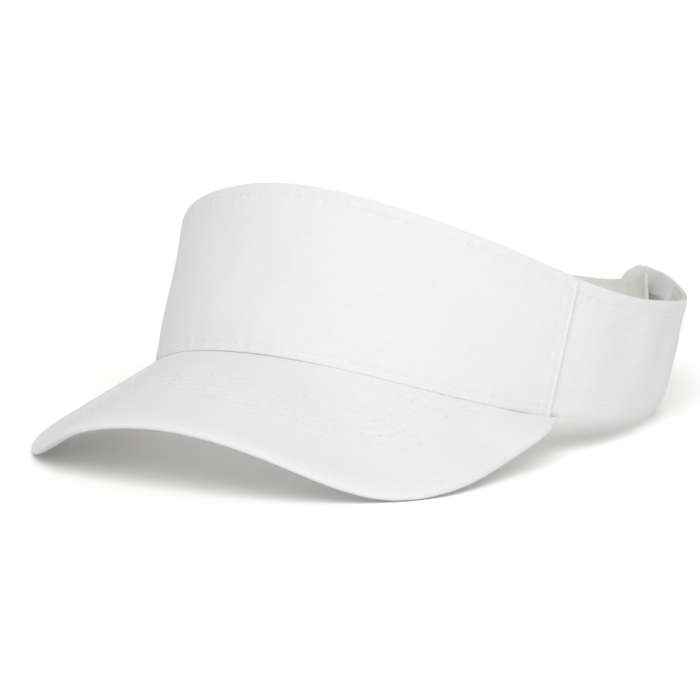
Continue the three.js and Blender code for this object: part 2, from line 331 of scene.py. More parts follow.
def resample(P, N, step):
    seg = np.linalg.norm(np.diff(P, axis=0), axis=1)
    s = np.concatenate([[0], np.cumsum(seg)])
    n = max(1, int(round(s[-1] / step)))
    at = (np.arange(n) + 0.5) * s[-1] / n
    Q = np.stack([np.interp(at, s, P[:, k]) for k in range(3)], -1)
    M = unit(np.stack([np.interp(at, s, N[:, k]) for k in range(3)], -1))
    h = 0.5 * s[-1] / n
    T = np.stack([np.interp(at + h * 0.9, s, P[:, k]) - np.interp(at - h * 0.9, s, P[:, k]) for k in range(3)], -1)
    return Q, unit(T), M


def stitches(paths, radius=0.16, pitch=PITCH, share=0.74, lift=0.04, sides=6, seed=5):
    """Vertices and faces of sewn stitches along (P, N) paths that lie on the cloth."""
    rng = np.random.default_rng(seed)
    prof = np.array([-1.0, -0.86, -0.5, 0.0, 0.5, 0.86, 1.0])
    rr = np.array([0.25, 0.72, 1.0, 1.06, 1.0, 0.72, 0.25])
    hh = np.array([-1.7, -0.75, 0.15, 0.42, 0.15, -0.75, -1.7])
    V, F, U = [], [], []
    base = 0
    ang = np.arange(sides) * 2 * math.pi / sides
    for P, N in paths:
        if len(P) < 2:
            continue
        Q, T, M = resample(np.asarray(P), np.asarray(N), pitch)
        M = unit(M - T * (M * T).sum(-1, keepdims=True))
        B = np.cross(M, T)
        n = len(Q)
        Q = Q + B * rng.normal(0, 0.035, (n, 1)) + M * rng.normal(0, 0.012, (n, 1))
        T = unit(T + B * rng.normal(0, 0.035, (n, 1)))
        half = pitch * share / 2 * (1 + rng.normal(0, 0.03, n))
        for i in range(len(prof)):
            c = Q + T * (prof[i] * half)[:, None] + M * (lift + hh[i] * radius)
            ring = c[:, None] + radius * rr[i] * (np.cos(ang)[None, :, None] * B[:, None] + 0.85 * np.sin(ang)[None, :, None] * M[:, None])
            V.append(ring.reshape(-1, 3))
            U.append(np.stack([np.broadcast_to(np.arange(sides) / sides * 1.1, (n, sides)), np.broadcast_to((prof[i] * half)[:, None], (n, sides))], -1).reshape(-1, 2))
        k = np.arange(n)[:, None] * sides + np.arange(sides)[None]
        kn = np.arange(n)[:, None] * sides + (np.arange(sides)[None] + 1) % sides
        for i in range(len(prof) - 1):
            a, b = base + i * n * sides, base + (i + 1) * n * sides
            F.append(np.stack([a + k, a + kn, b + kn, b + k], -1).reshape(-1, 4))
        caps = base + np.arange(n)[:, None] * sides + np.arange(sides)[None]
        F.append(("cap", caps[:, ::-1]))
        F.append(("cap", caps + (len(prof) - 1) * n * sides))
        base += len(prof) * n * sides
    quads = np.concatenate([f for f in F if not isinstance(f, tuple)])
    caps = np.concatenate([f[1] for f in F if isinstance(f, tuple)])
    return np.concatenate(V), quads, caps, np.concatenate(U)


def thread_piece(name, paths, material, **kw):
    V, quads, caps, U = stitches(paths, **kw)
    return new_mesh(name, V, [quads, caps], U, material)


# ------------------------------------------------------------------ materials
def node(nt, kind, at=(0, 0), **kw):
    n = nt.nodes.new(kind)
    n.location = at
    for k, v in kw.items():
        setattr(n, k, v)
    return n


def math_node(nt, op, a, b=None, c=None):
    n = nt.nodes.new("ShaderNodeMath")
    n.operation = op
    for i, v in enumerate((a, b, c)):
        if v is None:
            continue
        if isinstance(v, (int, float)):
            n.inputs[i].default_value = v
        else:
            nt.links.new(v, n.inputs[i])
    return n.outputs[0]


def noise_node(nt, vector, scale, detail=3.0, rough=0.55):
    n = nt.nodes.new("ShaderNodeTexNoise")
    n.inputs["Scale"].default_value = scale
    n.inputs["Detail"].default_value = detail
    n.inputs["Roughness"].default_value = rough
    nt.links.new(vector, n.inputs["Vector"])
    return n.outputs["Fac"]


def ramp_node(nt, fac, stops):
    n = nt.nodes.new("ShaderNodeValToRGB")
    while len(n.color_ramp.elements) > 2:
        n.color_ramp.elements.remove(n.color_ramp.elements[-1])
    for i, (p, c) in enumerate(stops):
        e = n.color_ramp.elements[i] if i < 2 else n.color_ramp.elements.new(p)
        e.position = p
        e.color = (*c, 1)
    nt.links.new(fac, n.inputs["Fac"])
    return n.outputs["Color"]


def shader(name, roughness, sheen, sheen_rough=0.5, specular=0.3, uv="cloth"):
    m = bpy.data.materials.new(name)
    m.use_nodes = True
    nt = m.node_tree
    b = nt.nodes["Principled BSDF"]
    b.inputs["Roughness"].default_value = roughness
    b.inputs["Sheen Weight"].default_value = sheen
    b.inputs["Sheen Roughness"].default_value = sheen_rough
    b.inputs["Specular IOR Level"].default_value = specular
    if uv:
        c = nt.nodes.new("ShaderNodeUVMap")
        c.uv_map = uv
        vec = c.outputs["UV"]
    else:
        vec = nt.nodes.new("ShaderNodeTexCoord").outputs["Object"]
    return m, nt, b, vec


def twill(name, light, dark, pitch=0.52, angle=58.0, roughness=0.88, sheen=0.12, bump=0.42, warp_mix=1.0, seed=0.0):
    """Cotton twill: diagonal ribs of two yarns a rib, slubs, and a slow change of tone. The UVs are in metres."""
    m, nt, b, vec = shader(name, roughness, sheen)
    sep = nt.nodes.new("ShaderNodeSeparateXYZ")
    wob = nt.nodes.new("ShaderNodeVectorMath"); wob.operation = "ADD"
    wn = nt.nodes.new("ShaderNodeTexNoise"); wn.inputs["Scale"].default_value = 90.0; wn.inputs["Detail"].default_value = 2.0
    sc = nt.nodes.new("ShaderNodeVectorMath"); sc.operation = "SCALE"; sc.inputs["Scale"].default_value = 0.0009
    nt.links.new(vec, wn.inputs["Vector"]); nt.links.new(wn.outputs["Color"], sc.inputs[0])
    nt.links.new(vec, wob.inputs[0]); nt.links.new(sc.outputs[0], wob.inputs[1]); nt.links.new(wob.outputs[0], sep.inputs[0])
    x, y = sep.outputs["X"], sep.outputs["Y"]
    ca, sa = math.cos(math.radians(angle)), math.sin(math.radians(angle))
    k = 2 * math.pi / (pitch * 0.001)
    across = math_node(nt, "ADD", math_node(nt, "MULTIPLY", x, -sa * k), math_node(nt, "MULTIPLY", y, ca * k))
    rib = math_node(nt, "MULTIPLY_ADD", math_node(nt, "SINE", across), 0.5, 0.5)
    along = math_node(nt, "ADD", math_node(nt, "MULTIPLY", x, ca * k * 1.35), math_node(nt, "MULTIPLY", y, sa * k * 1.35))
    yarn = math_node(nt, "MULTIPLY_ADD", math_node(nt, "SINE", math_node(nt, "ADD", along, math_node(nt, "MULTIPLY", across, 0.5))), 0.5, 0.5)
    cell = math_node(nt, "MULTIPLY", math_node(nt, "POWER", rib, 0.8), math_node(nt, "MULTIPLY_ADD", yarn, 0.35, 0.65))
    fuzz = noise_node(nt, vec, 2600.0, 3.0, 0.6)
    slub = noise_node(nt, vec, 260.0, 2.0, 0.5)
    grain = noise_node(nt, vec, 850.0, 3.0, 0.6)
    height = math_node(nt, "ADD", math_node(nt, "MULTIPLY", cell, 0.75), math_node(nt, "ADD", math_node(nt, "MULTIPLY", fuzz, 0.35), math_node(nt, "MULTIPLY_ADD", grain, 0.9, math_node(nt, "MULTIPLY", slub, 0.6))))
    bn = nt.nodes.new("ShaderNodeBump")
    bn.inputs["Strength"].default_value = bump
    bn.inputs["Distance"].default_value = 0.00016
    nt.links.new(height, bn.inputs["Height"])
    nt.links.new(bn.outputs["Normal"], b.inputs["Normal"])
    slow = noise_node(nt, vec, 22.0 + seed, 2.0, 0.5)
    tone = math_node(nt, "ADD", math_node(nt, "MULTIPLY_ADD", slow, 0.30, math_node(nt, "MULTIPLY", grain, 0.30)), math_node(nt, "MULTIPLY_ADD", cell, 0.20, math_node(nt, "MULTIPLY", slub, 0.20)))
    col = ramp_node(nt, tone, [(0.22, dark), (0.72, light)])
    nt.links.new(col, b.inputs["Base Color"])
    rough = math_node(nt, "MULTIPLY_ADD", fuzz, 0.10, roughness - 0.05)
    nt.links.new(rough, b.inputs["Roughness"])
    return m


def plain_weave(name, light, dark, pitch=0.8, roughness=0.85, sheen=0.1, bump=0.3, open_mesh=False):
    m, nt, b, vec = shader(name, roughness, sheen)
    sep = nt.nodes.new("ShaderNodeSeparateXYZ")
    nt.links.new(vec, sep.inputs[0])
    k = 2 * math.pi / (pitch * 0.001)
    sx = math_node(nt, "SINE", math_node(nt, "MULTIPLY", sep.outputs["X"], k))
    sy = math_node(nt, "SINE", math_node(nt, "MULTIPLY", sep.outputs["Y"], k))
    cell = math_node(nt, "MULTIPLY_ADD", math_node(nt, "MULTIPLY", sx, sy), 0.5, 0.5)
    fuzz = noise_node(nt, vec, 1800.0, 3.0, 0.6)
    slow = noise_node(nt, vec, 40.0, 2.0, 0.5)
    height = math_node(nt, "ADD", cell, math_node(nt, "MULTIPLY", fuzz, 0.4))
    bn = nt.nodes.new("ShaderNodeBump")
    bn.inputs["Strength"].default_value = bump
    bn.inputs["Distance"].default_value = 0.0002
    nt.links.new(height, bn.inputs["Height"])
    nt.links.new(bn.outputs["Normal"], b.inputs["Normal"])
    tone = math_node(nt, "ADD", math_node(nt, "MULTIPLY", cell, 0.5), math_node(nt, "MULTIPLY", slow, 0.5))
    nt.links.new(ramp_node(nt, tone, [(0.2, dark), (0.75, light)]), b.inputs["Base Color"])
    nt.links.new(math_node(nt, "MULTIPLY_ADD", fuzz, 0.12, roughness - 0.06), b.inputs["Roughness"])
    return m


def thread_material(name, light, dark):
    """Two-ply sewing thread: the twist runs round it at a slant."""
    m, nt, b, vec = shader(name, 0.6, 0.15, specular=0.4)
    sep = nt.nodes.new("ShaderNodeSeparateXYZ")
    nt.links.new(vec, sep.inputs[0])
    twist = math_node(nt, "MULTIPLY_ADD", math_node(nt, "SINE", math_node(nt, "ADD", math_node(nt, "MULTIPLY", sep.outputs["X"], 2 * math.pi / 0.00055), math_node(nt, "MULTIPLY", sep.outputs["Y"], 2 * math.pi / 0.00045))), 0.5, 0.5)
    fuzz = noise_node(nt, vec, 3000.0, 2.0, 0.5)
    bn = nt.nodes.new("ShaderNodeBump")
    bn.inputs["Strength"].default_value = 0.3
    bn.inputs["Distance"].default_value = 0.00006
    nt.links.new(math_node(nt, "ADD", twist, math_node(nt, "MULTIPLY", fuzz, 0.3)), bn.inputs["Height"])
    nt.links.new(bn.outputs["Normal"], b.inputs["Normal"])
    nt.links.new(ramp_node(nt, twist, [(0.0, dark), (0.6, light)]), b.inputs["Base Color"])
    nt.links.new(math_node(nt, "MULTIPLY_ADD", fuzz, 0.15, 0.52), b.inputs["Roughness"])
    return m


def fibre_material(name, light, dark, roughness):
    m, nt, b, vec = shader(name, roughness, 0.1, specular=0.45, uv=None)
    n = noise_node(nt, vec, 900.0, 2.0, 0.5)
    nt.links.new(ramp_node(nt, n, [(0.3, dark), (0.7, light)]), b.inputs["Base Color"])
    nt.links.new(math_node(nt, "MULTIPLY_ADD", n, 0.2, roughness - 0.1), b.inputs["Roughness"])
    bn = nt.nodes.new("ShaderNodeBump")
    bn.inputs["Strength"].default_value = 0.15
    bn.inputs["Distance"].default_value = 0.0001
    nt.links.new(n, bn.inputs["Height"])
    nt.links.new(bn.outputs["Normal"], b.inputs["Normal"])
    return m


WHITE, WHITE_D = (0.764, 0.765, 0.771), (0.690, 0.691, 0.697)
M_FRONT = twill("twill_front", WHITE, WHITE_D)
M_SIDE = twill("twill_side", WHITE, WHITE_D, angle=-58.0, seed=3.0)
M_BRIM = twill("twill_brim", WHITE, WHITE_D, angle=52.0, seed=5.0)
M_UNDER = twill("twill_under", (0.735, 0.738, 0.745), (0.69, 0.693, 0.70), angle=52.0, seed=7.0)
# The inside cloth is coloured darker and warmer than the outside white: painted shade of the visor's inside, also on
# the strap that lies inside.
M_IN_PAINTED_SHADE = twill("twill_inner_painted_shade", (0.66, 0.662, 0.635), (0.615, 0.617, 0.59), angle=58.0, seed=9.0, roughness=0.92)
M_SWEAT = twill("twill_sweatband", (0.735, 0.735, 0.718), (0.68, 0.68, 0.662), pitch=0.42, angle=45.0, seed=2.0, roughness=0.93, sheen=0.25, bump=0.3)
M_BACK = plain_weave("interlining", (0.82, 0.83, 0.80), (0.60, 0.61, 0.58), pitch=1.1, bump=0.6)
M_TAPE = plain_weave("seam_tape", (0.73, 0.73, 0.712), (0.66, 0.66, 0.64), pitch=0.6, bump=0.4)
M_THREAD = thread_material("thread_white", (0.825, 0.827, 0.835), (0.765, 0.767, 0.775))
M_THREAD_IN = thread_material("thread_inside", (0.69, 0.692, 0.665), (0.63, 0.632, 0.605))
# The hook tape and its hooks are coloured a dark brownish grey: painted shade of the narrow gap between the strap's
# free end and the tab.
M_HOOKBASE_PAINTED_SHADE = plain_weave("hook_base_painted_shade", (0.52, 0.51, 0.48), (0.40, 0.39, 0.36), pitch=0.9, roughness=0.6, bump=0.5)
M_HOOK_PAINTED_SHADE = fibre_material("hook_fibre_painted_shade", (0.62, 0.61, 0.58), (0.48, 0.47, 0.44), 0.38)
M_LOOPBASE = plain_weave("loop_base", (0.86, 0.86, 0.855), (0.76, 0.76, 0.755), pitch=0.7, bump=0.5)
M_LOOP = fibre_material("loop_fibre", (0.90, 0.90, 0.895), (0.80, 0.80, 0.795), 0.7)


def finish_piece(o, body, nodes=()):
    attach(o, body)
    if nodes:
        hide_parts(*nodes)
    return o


def cloth_area(o):
    """Half of a closed piece's surface, which is the flat cut it came from, in square metres."""
    me = o.data
    n = len(me.polygons)
    a = np.zeros(n, np.float32)
    me.polygons.foreach_get("area", a)
    return float(a.sum()) / 2


SHEETS = []


# The size of each flat cut, in metres and square metres: width, length and area of its pattern, measured
# on the ply's own construction curves at the ply's depth. They are set down here and never taken from the
# finished meshes, so that the two can be compared.
CUTS = {
    "front_panel_cloth": (0.0586, 0.2168, 0.011686),
    "side_panel_left_cloth": (0.0470, 0.1171, 0.004884),
    "side_panel_right_cloth": (0.0470, 0.1289, 0.005267),
    "front_backing_cloth": (0.0536, 0.2111, 0.010447),
    "front_facing_cloth": (0.0548, 0.2089, 0.010549),
    "side_lining_left_cloth": (0.0461, 0.1150, 0.004681),
    "side_lining_right_cloth": (0.0461, 0.1267, 0.005051),
    "seam_tape_left_cloth": (0.0139, 0.0452, 0.000598),
    "seam_tape_right_cloth": (0.0139, 0.0452, 0.000598),
    "sweatband_cloth": (0.0320, 0.1868, 0.005945),
    "closure_tab_left_cloth": (0.0409, 0.0410, 0.001353),
    "closure_strap_right_cloth": (0.0278, 0.1251, 0.003233),
    "brim_top_cloth": (0.1304, 0.1817, 0.013865),
    "brim_under_cloth": (0.1236, 0.1749, 0.012128),
}


def declare_sheet(o):
    width, length, area = CUTS[o.name]
    SHEETS.append((o.name, width, length, area, round(cloth_area(o), 6)))


# ------------------------------------------------------------------ the front
def arc(fn, a, b, v, n=400):
    """A table of length along the band against the angle, at height v."""
    deg = np.linspace(a, b, n)
    p = fn(deg, v + 0 * deg)
    s = np.concatenate([[0], np.cumsum(np.linalg.norm(np.diff(p, axis=0), axis=1))])
    return deg, s


def height_of(deg):
    return np.linalg.norm(band(deg, 1.0 + 0 * deg) - band(deg, 0.0 * deg), axis=-1)


TOP_ROW, LOW_ROW, SIDE_ROW = 4.0, 2.7, 3.9
SIDE_TOP_ROW, SIDE_LOW_ROW = 4.4, 4.3


def front_relief(s, S, h, H):
    """Outward relief of the front panel, at length s of S and height h of H, in mm."""
    end = np.minimum(s, S - s)
    top = H - h
    d = stitched(top - TOP_ROW, s, depth=0.13, width=0.75, seed=11, pucker=0.10)
    d = d + stitched(h - LOW_ROW, s, depth=0.13, width=0.75, seed=12, pucker=0.10)
    d = d + stitched(end - SIDE_ROW, h, seed=13, pucker=0.05)
    d = d + 0.05 * smooth((TOP_ROW - top) / 2.4 + 0.4) * smooth(top / 0.8)  # turned top edge
    d = d + 0.04 * smooth((LOW_ROW - h) / 1.8 + 0.4)
    d = d + 0.05 * smooth((SIDE_ROW - end) / 2.2 + 0.35) * smooth(end / 0.7)  # seam allowance under the edge
    calm = smooth(np.minimum(np.minimum(h, top), end) / 16)
    d = d + calm * (0.42 * waves(s, h * 1.2, 21, 62, 8, 0.45) + 0.10 * waves(s, h, 22, 19, 9, 0.4))
    # a shallow slanting dent on the wearer's left of the middle
    a = (s - (S / 2 - 4)) * 0.80 + (h - 27) * 0.60
    c = -(s - (S / 2 - 4)) * 0.60 + (h - 27) * 0.80
    d = d - 0.38 * np.exp(-((a / 17) ** 2) - ((c / 6.5) ** 2))
    return d


def front_grid(t_low=0.0):
    _, arcs = arc(band, -SEAM_LOW + 0.15, SEAM_LOW - 0.15, 0.5)
    S = arcs[-1]
    us = steps(S, [(0, 5.6), (S - 5.6, S)], 0.30, 0.58)
    H0 = 55.0
    vs = steps(H0, [(0, 4.6), (H0 - 6.2, H0)], 0.30, 1.25)
    return S, us, vs


def make_front():
    S, us, vs = front_grid()
    U, V = np.meshgrid(us, vs, indexing="ij")
    a0, a1 = -seam_at(V) + 0.12, seam_at(V) - 0.12
    deg = a0 + (a1 - a0) * U
    H = height_of(deg)
    # rows keep their millimetres from the edges: the fine zones are laid out in mm on every column
    h = np.where(V * 55 <= 4.6, V * 55, np.where(55 - V * 55 <= 6.2, H - (55 - V * 55), 4.6 + (V * 55 - 4.6) / (55 - 10.8) * (H - 10.8)))
    T = h / H
    a0, a1 = -seam_at(T) + 0.12, seam_at(T) - 0.12
    # equal steps of length along the band at every height
    tab_deg, tab_s = arc(band, -SEAM_LOW + 0.12, SEAM_LOW - 0.12, 0.5, 900)
    w = np.interp(U * tab_s[-1], tab_s, (tab_deg - tab_deg[0]) / (tab_deg[-1] - tab_deg[0]))
    deg = a0 + (a1 - a0) * w
    s = U * S
    d = front_relief(s, S, h, H)
    N = normal_of(band, deg, T, 0.02)
    P = band(deg, T)
    # the top edge leans in a little as it turns over
    tip = smooth((1.6 - (H - h)) / 1.6)
    O = P + N * (d - 0.30 * tip)[..., None]
    I = P - N * (TWILL - 0.08 - 0.15 * tip + 0 * d)[..., None] + N * (0.6 * np.minimum(d, 0.2))[..., None]
    uv = np.stack([s, h], -1)
    o = patch("front_panel_cloth", O, I, uv, M_FRONT, roll=0.9)
    finish_piece(o, "crown", ["front_panel"])
    declare_sheet(o)

    # the threads of its three rows
    paths = []

    def along(h_of, lo, hi, n=500):
        uu = np.linspace(lo, hi, n)
        ww = np.interp(uu * tab_s[-1], tab_s, (tab_deg - tab_deg[0]) / (tab_deg[-1] - tab_deg[0]))
        dd = -seam_at(0.5) + 2 * seam_at(0.5) * ww
        for _ in range(2):
            HH = height_of(dd)
            tt = h_of(HH) / HH
            dd = -seam_at(tt) + 0.12 + (2 * seam_at(tt) - 0.24) * ww
        hh = tt * HH
        r = front_relief(uu * S, S, hh, HH)
        n_ = normal_of(band, dd, tt, 0.02)
        return band(dd, tt) + n_ * (np.minimum(r, 0.1) - 0.02)[:, None], n_

    e = SIDE_ROW / S
    paths.append(along(lambda H_: H_ - TOP_ROW, 0.004, 0.996))
    paths.append(along(lambda H_: LOW_ROW + 0 * H_, 0.004, 0.996))
    for u0 in (e, 1 - e):
        tt = np.linspace(0.06, 0.92, 120)
        dd = -seam_at(tt) + 0.12 + (2 * seam_at(tt) - 0.24) * np.interp(u0 * tab_s[-1], tab_s, (tab_deg - tab_deg[0]) / (tab_deg[-1] - tab_deg[0]))
        HH = height_of(dd)
        n_ = normal_of(band, dd, tt, 0.02)
        paths.append((band(dd, tt) + n_ * (-0.12), n_))
    th = thread_piece("front_topstitching", paths, M_THREAD)
    finish_piece(th, "crown")


# A simple inner ply of the band, with its edges drawn in towards the ply outside it.
def inner_ply(name, body, nodes, material, a, b, t0, t1, d0, thick, edge_pull, seed, nu=150, nv=34, relief=0.10, rows=(), blend=None, sheet=True, at_top=True, dip=0, hem=0.0):
    U, V = np.meshgrid(np.linspace(0, 1, nu), steps(40.0, [(0, 3.2), (36.8, 40.0)], 0.4, 1.5), indexing="ij")
    T = t0 + (t1 - t0) * V
    fa = a(T) if callable(a) else a + 0 * T
    fb = b(T) if callable(b) else b + 0 * T
    deg = fa + (fb - fa) * U
    H = height_of(deg)
    h = T * H
    _, ss = arc(band, float(fa.mean()), float(fb.mean()), 0.5)
    s = U * ss[-1]
    near_top = smooth(1 - (T.max() * H - h) / 5.0)
    near_low = smooth(1 - (h - T.min() * H) / 5.0)
    depth = d0 - edge_pull * (near_top if at_top else 0) - edge_pull * near_low
    if dip:
        depth = depth + seam_dip(s if dip > 0 else ss[-1] - s, h, H - h)
    N = normal_of(band, deg, T, 0.02)
    r = relief * waves(s, h, seed, 17, 9, 0.5)
    for row in rows:
        dist = (T.max() * H - h) - row if row > 0 else (h - T.min() * H) + row
        r = r + stitched(dist, s, depth=0.09, width=0.6, seed=seed + 3)
    if hem:
        r = r + hem * smooth((3.9 - (T.max() * H - h)) / 1.4 + 0.3)
    P = band(deg, T)
    O = P - N * depth[..., None]
    I = P - N * (depth + thick + r)[..., None]
    o = patch(name, O, I, np.stack([s, h], -1), material, roll=0.9)
    paths = []
    for row in rows:
        uu = np.linspace(0.01, 0.99, 260)
        dd = np.interp(uu, [0, 1], [float(fa.mean()), float(fb.mean())])
        HH = height_of(dd)
        tt = (T.max() * HH - row) / HH if row > 0 else (T.min() * HH - row) / HH
        n_ = normal_of(band, dd, tt, 0.02)
        hh = tt * HH
        pull = edge_pull * ((smooth(1 - (T.max() * HH - hh) / 5.0) if at_top else 0) + smooth(1 - (hh - T.min() * HH) / 5.0))
        paths.append((band(dd, tt) - n_ * (d0 - pull + thick - 0.16)[:, None], -n_))
    th = thread_piece(name + "_stitching", paths, M_THREAD_IN) if paths else None
    if blend:
        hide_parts(*nodes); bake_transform(o)
        if th:
            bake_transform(th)
    else:
        finish_piece(o, body, nodes)
        if th:
            finish_piece(th, body)
    if sheet:
        declare_sheet(o)
    return o


# ------------------------------------------------------------------ joints' bending lines, in the row frame, in metres
def bend_line(a, b, deg_from, reach_mm):
    """From the line a-b on the band to a line reach_mm further along it, at right angles to it."""
    m = unit(b - a)
    t = unit(band(np.array([deg_from + 1.0]), np.array([0.4]))[0] - band(np.array([deg_from - 1.0]), np.array([0.4]))[0])
    d = unit(t - m * float((t * m).sum()))
    return tuple(to_frame(a)), tuple(to_frame(a + d * reach_mm))


_sa, _sb = band(np.array([SEAM_LOW]), np.array([0.0]))[0], band(np.array([SEAM_HIGH]), np.array([1.0]))[0]
SIDE_BLEND = ("crown", "left_side") + bend_line(_sa, _sb, SEAM_LOW, 34.0)
_ta, _tb = band(np.array([137.8]), np.array([0.0]))[0], band(np.array([137.8]), np.array([1.0]))[0]
TAB_BLEND = ("left_side", "left_tab") + bend_line(_ta, _tb, 137.8, 13.0)


def blended(o, nodes):
    if nodes:
        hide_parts(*nodes)
    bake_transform(o)


# ------------------------------------------------------------------ side panels
# Behind each side seam the softer panel dips away from the stiff front.
def seam_dip(s, h, top):
    s = np.maximum(s, 0)
    return 0.85 * np.exp(-s / 7.5) * smooth((s + 0.2) / 1.5) * (0.30 + 0.70 * smooth(h / 11) * smooth(top / 11))


def make_side(name, left):
    end_w = LEFT_PANEL_END if left else 360 - RIGHT_PANEL_END
    turn = (lambda w: w) if left else (lambda w: 360 - w)
    tab_w, tab_s = arc(lambda w, t: band(turn(w), t), SEAM_LOW, end_w, 0.5, 700)
    S = tab_s[-1]
    us = steps(S, [(0, 2.4), (S - 1.5, S)], 0.30, 0.62)
    vs = steps(42.0, [(0, 6.2), (35.8, 42.0)], 0.30, 1.2)
    U, V = np.meshgrid(us, vs, indexing="ij")
    frac = np.interp(U * S, tab_s, (tab_w - tab_w[0]) / (tab_w[-1] - tab_w[0]))
    T = V.copy()
    for _ in range(3):
        W = seam_at(T) + 0.12
        W = W + (end_w - W) * frac
        H = height_of(turn(W))
        h = np.where(V * 42 <= 6.2, V * 42, np.where(V * 42 >= 35.8, H - (42 - V * 42), 6.2 + (V * 42 - 6.2) / 29.6 * (H - 12.4)))
        T = h / H
    s = U * S
    top = H - h

    def relief(s, h, top):
        d = stitched(top - SIDE_TOP_ROW, s, seed=31 + left)
        d = d + stitched(h - SIDE_LOW_ROW, s, seed=33 + left)
        d = d + 0.05 * smooth((SIDE_TOP_ROW - top) / 2.4 + 0.4) * smooth(top / 0.8)
        d = d + 0.05 * smooth((SIDE_LOW_ROW - h) / 2.4 + 0.4) * smooth(h / 0.8)
        d = d - 0.10 * smooth(1 - s / 1.5) - seam_dip(s, h, top)
        calm = smooth(np.minimum(np.minimum(h, top), s + 3) / 14)
        return d + calm * (0.55 * waves(s, h * 0.7, 41 + left, 34, 8, 0.4) + 0.10 * waves(s, h, 43 + left, 15, 9, 0.4))

    d = relief(s, h, top)
    N = normal_of(band, turn(W), T, 0.02)
    P = band(turn(W), T)
    tip = smooth((1.6 - top) / 1.6) + smooth((1.6 - h) / 1.6)
    O = P + N * (d - 0.28 * tip)[..., None]
    I = P - N * (TWILL - 0.08 - 0.1 * tip - 0.6 * np.minimum(d + seam_dip(s, h, top), 0.2) + seam_dip(s, h, top))[..., None]
    o = patch(name + "_cloth", O, I, np.stack([s if left else -s, h], -1), M_SIDE, roll=0.9)
    paths = []
    uu = np.linspace(0.012, 0.992, 420)
    for row, from_top in ((SIDE_TOP_ROW, True), (SIDE_LOW_ROW, False)):
        fr = np.interp(uu * S, tab_s, (tab_w - tab_w[0]) / (tab_w[-1] - tab_w[0]))
        tt = 0 * uu + 0.5
        for _ in range(3):
            ww = seam_at(tt) + 0.12
            ww = ww + (end_w - ww) * fr
            HH = height_of(turn(ww))
            hh = HH - row if from_top else 0 * HH + row
            tt = hh / HH
        n_ = normal_of(band, turn(ww), tt, 0.02)
        paths.append((band(turn(ww), tt) + n_ * (np.minimum(relief(uu * S, hh, HH - hh), 0.1) + 0.0)[:, None], n_))
    # the end's row
    for at_mm in ((S - 2.2),):
        tt = np.linspace(0.10, 0.90, 90)
        ww = np.interp(at_mm, tab_s, tab_w) + 0 * tt
        n_ = normal_of(band, turn(ww), tt, 0.02)
        paths.append((band(turn(ww), tt) + n_ * (-0.08), n_))
    th = thread_piece(name + "_topstitching", paths, M_THREAD)
    if left:
        blended(o, [name])
        blended(th, [])
    else:
        finish_piece(o, "crown", [name])
        finish_piece(th, "crown")
    declare_sheet(o)


# The narrow folded ridge of each side seam, where the front's edge turns over the side panel.
def make_seam_ridge(name, side):
    tt = np.linspace(-0.026, 0.985, 150)
    cross = np.linspace(0, 1, 15)
    U, V = np.meshgrid(tt, cross, indexing="ij")
    w = seam_at(U) + (V - 0.5) * 0.96
    deg = side * w
    N = normal_of(band, deg, U, 0.02)
    P = band(deg, U)
    x = (V - 0.5) * 2
    along = U * 46.0
    puff = 0.42 * np.sqrt(np.maximum(0, 1 - x ** 2)) * (1 + 0.10 * line_noise(along, 55 + side, 7.0))
    nip = 0.10 * np.cos(2 * math.pi * along / PITCH) * np.exp(-(((x + 0.55) / 0.35) ** 2))
    O = P + N * (0.02 + puff - nip)[..., None]
    I = P - N * (0.10 + 0 * puff)[..., None]
    o = patch(name, O, I, np.stack([along, x * 1.0 + 4], -1), M_FRONT, roll=0.4, rings=2)
    finish_piece(o, "crown")
    w_ = side * (seam_at(tt) - 0.50)
    n_ = normal_of(band, w_, tt, 0.02)
    th = thread_piece(name + "_stitching", [(band(w_, tt) + n_ * 0.10, n_)], M_THREAD, radius=0.12, pitch=1.5)
    finish_piece(th, "crown")


# ------------------------------------------------------------------ closure: strips with an outline and a row set in from it
def outline_distance(S_, Y_, poly):
    pts = np.stack([S_.ravel(), Y_.ravel()], -1)
    a, b = poly, np.roll(poly, -1, 0)
    best = np.full(len(pts), 1e9)
    along = np.zeros(len(pts))
    run = 0.0
    for p, q in zip(a, b):
        L = np.linalg.norm(q - p)
        if L < 1e-9:
            continue
        t = np.clip(((pts - p) @ (q - p)) / L ** 2, 0, 1)
        dd = np.linalg.norm(pts - (p + t[:, None] * (q - p)), axis=1)
        m = dd < best
        best[m] = dd[m]
        along[m] = (run + t * L)[m]
        run += L
    return best.reshape(S_.shape), along.reshape(S_.shape)


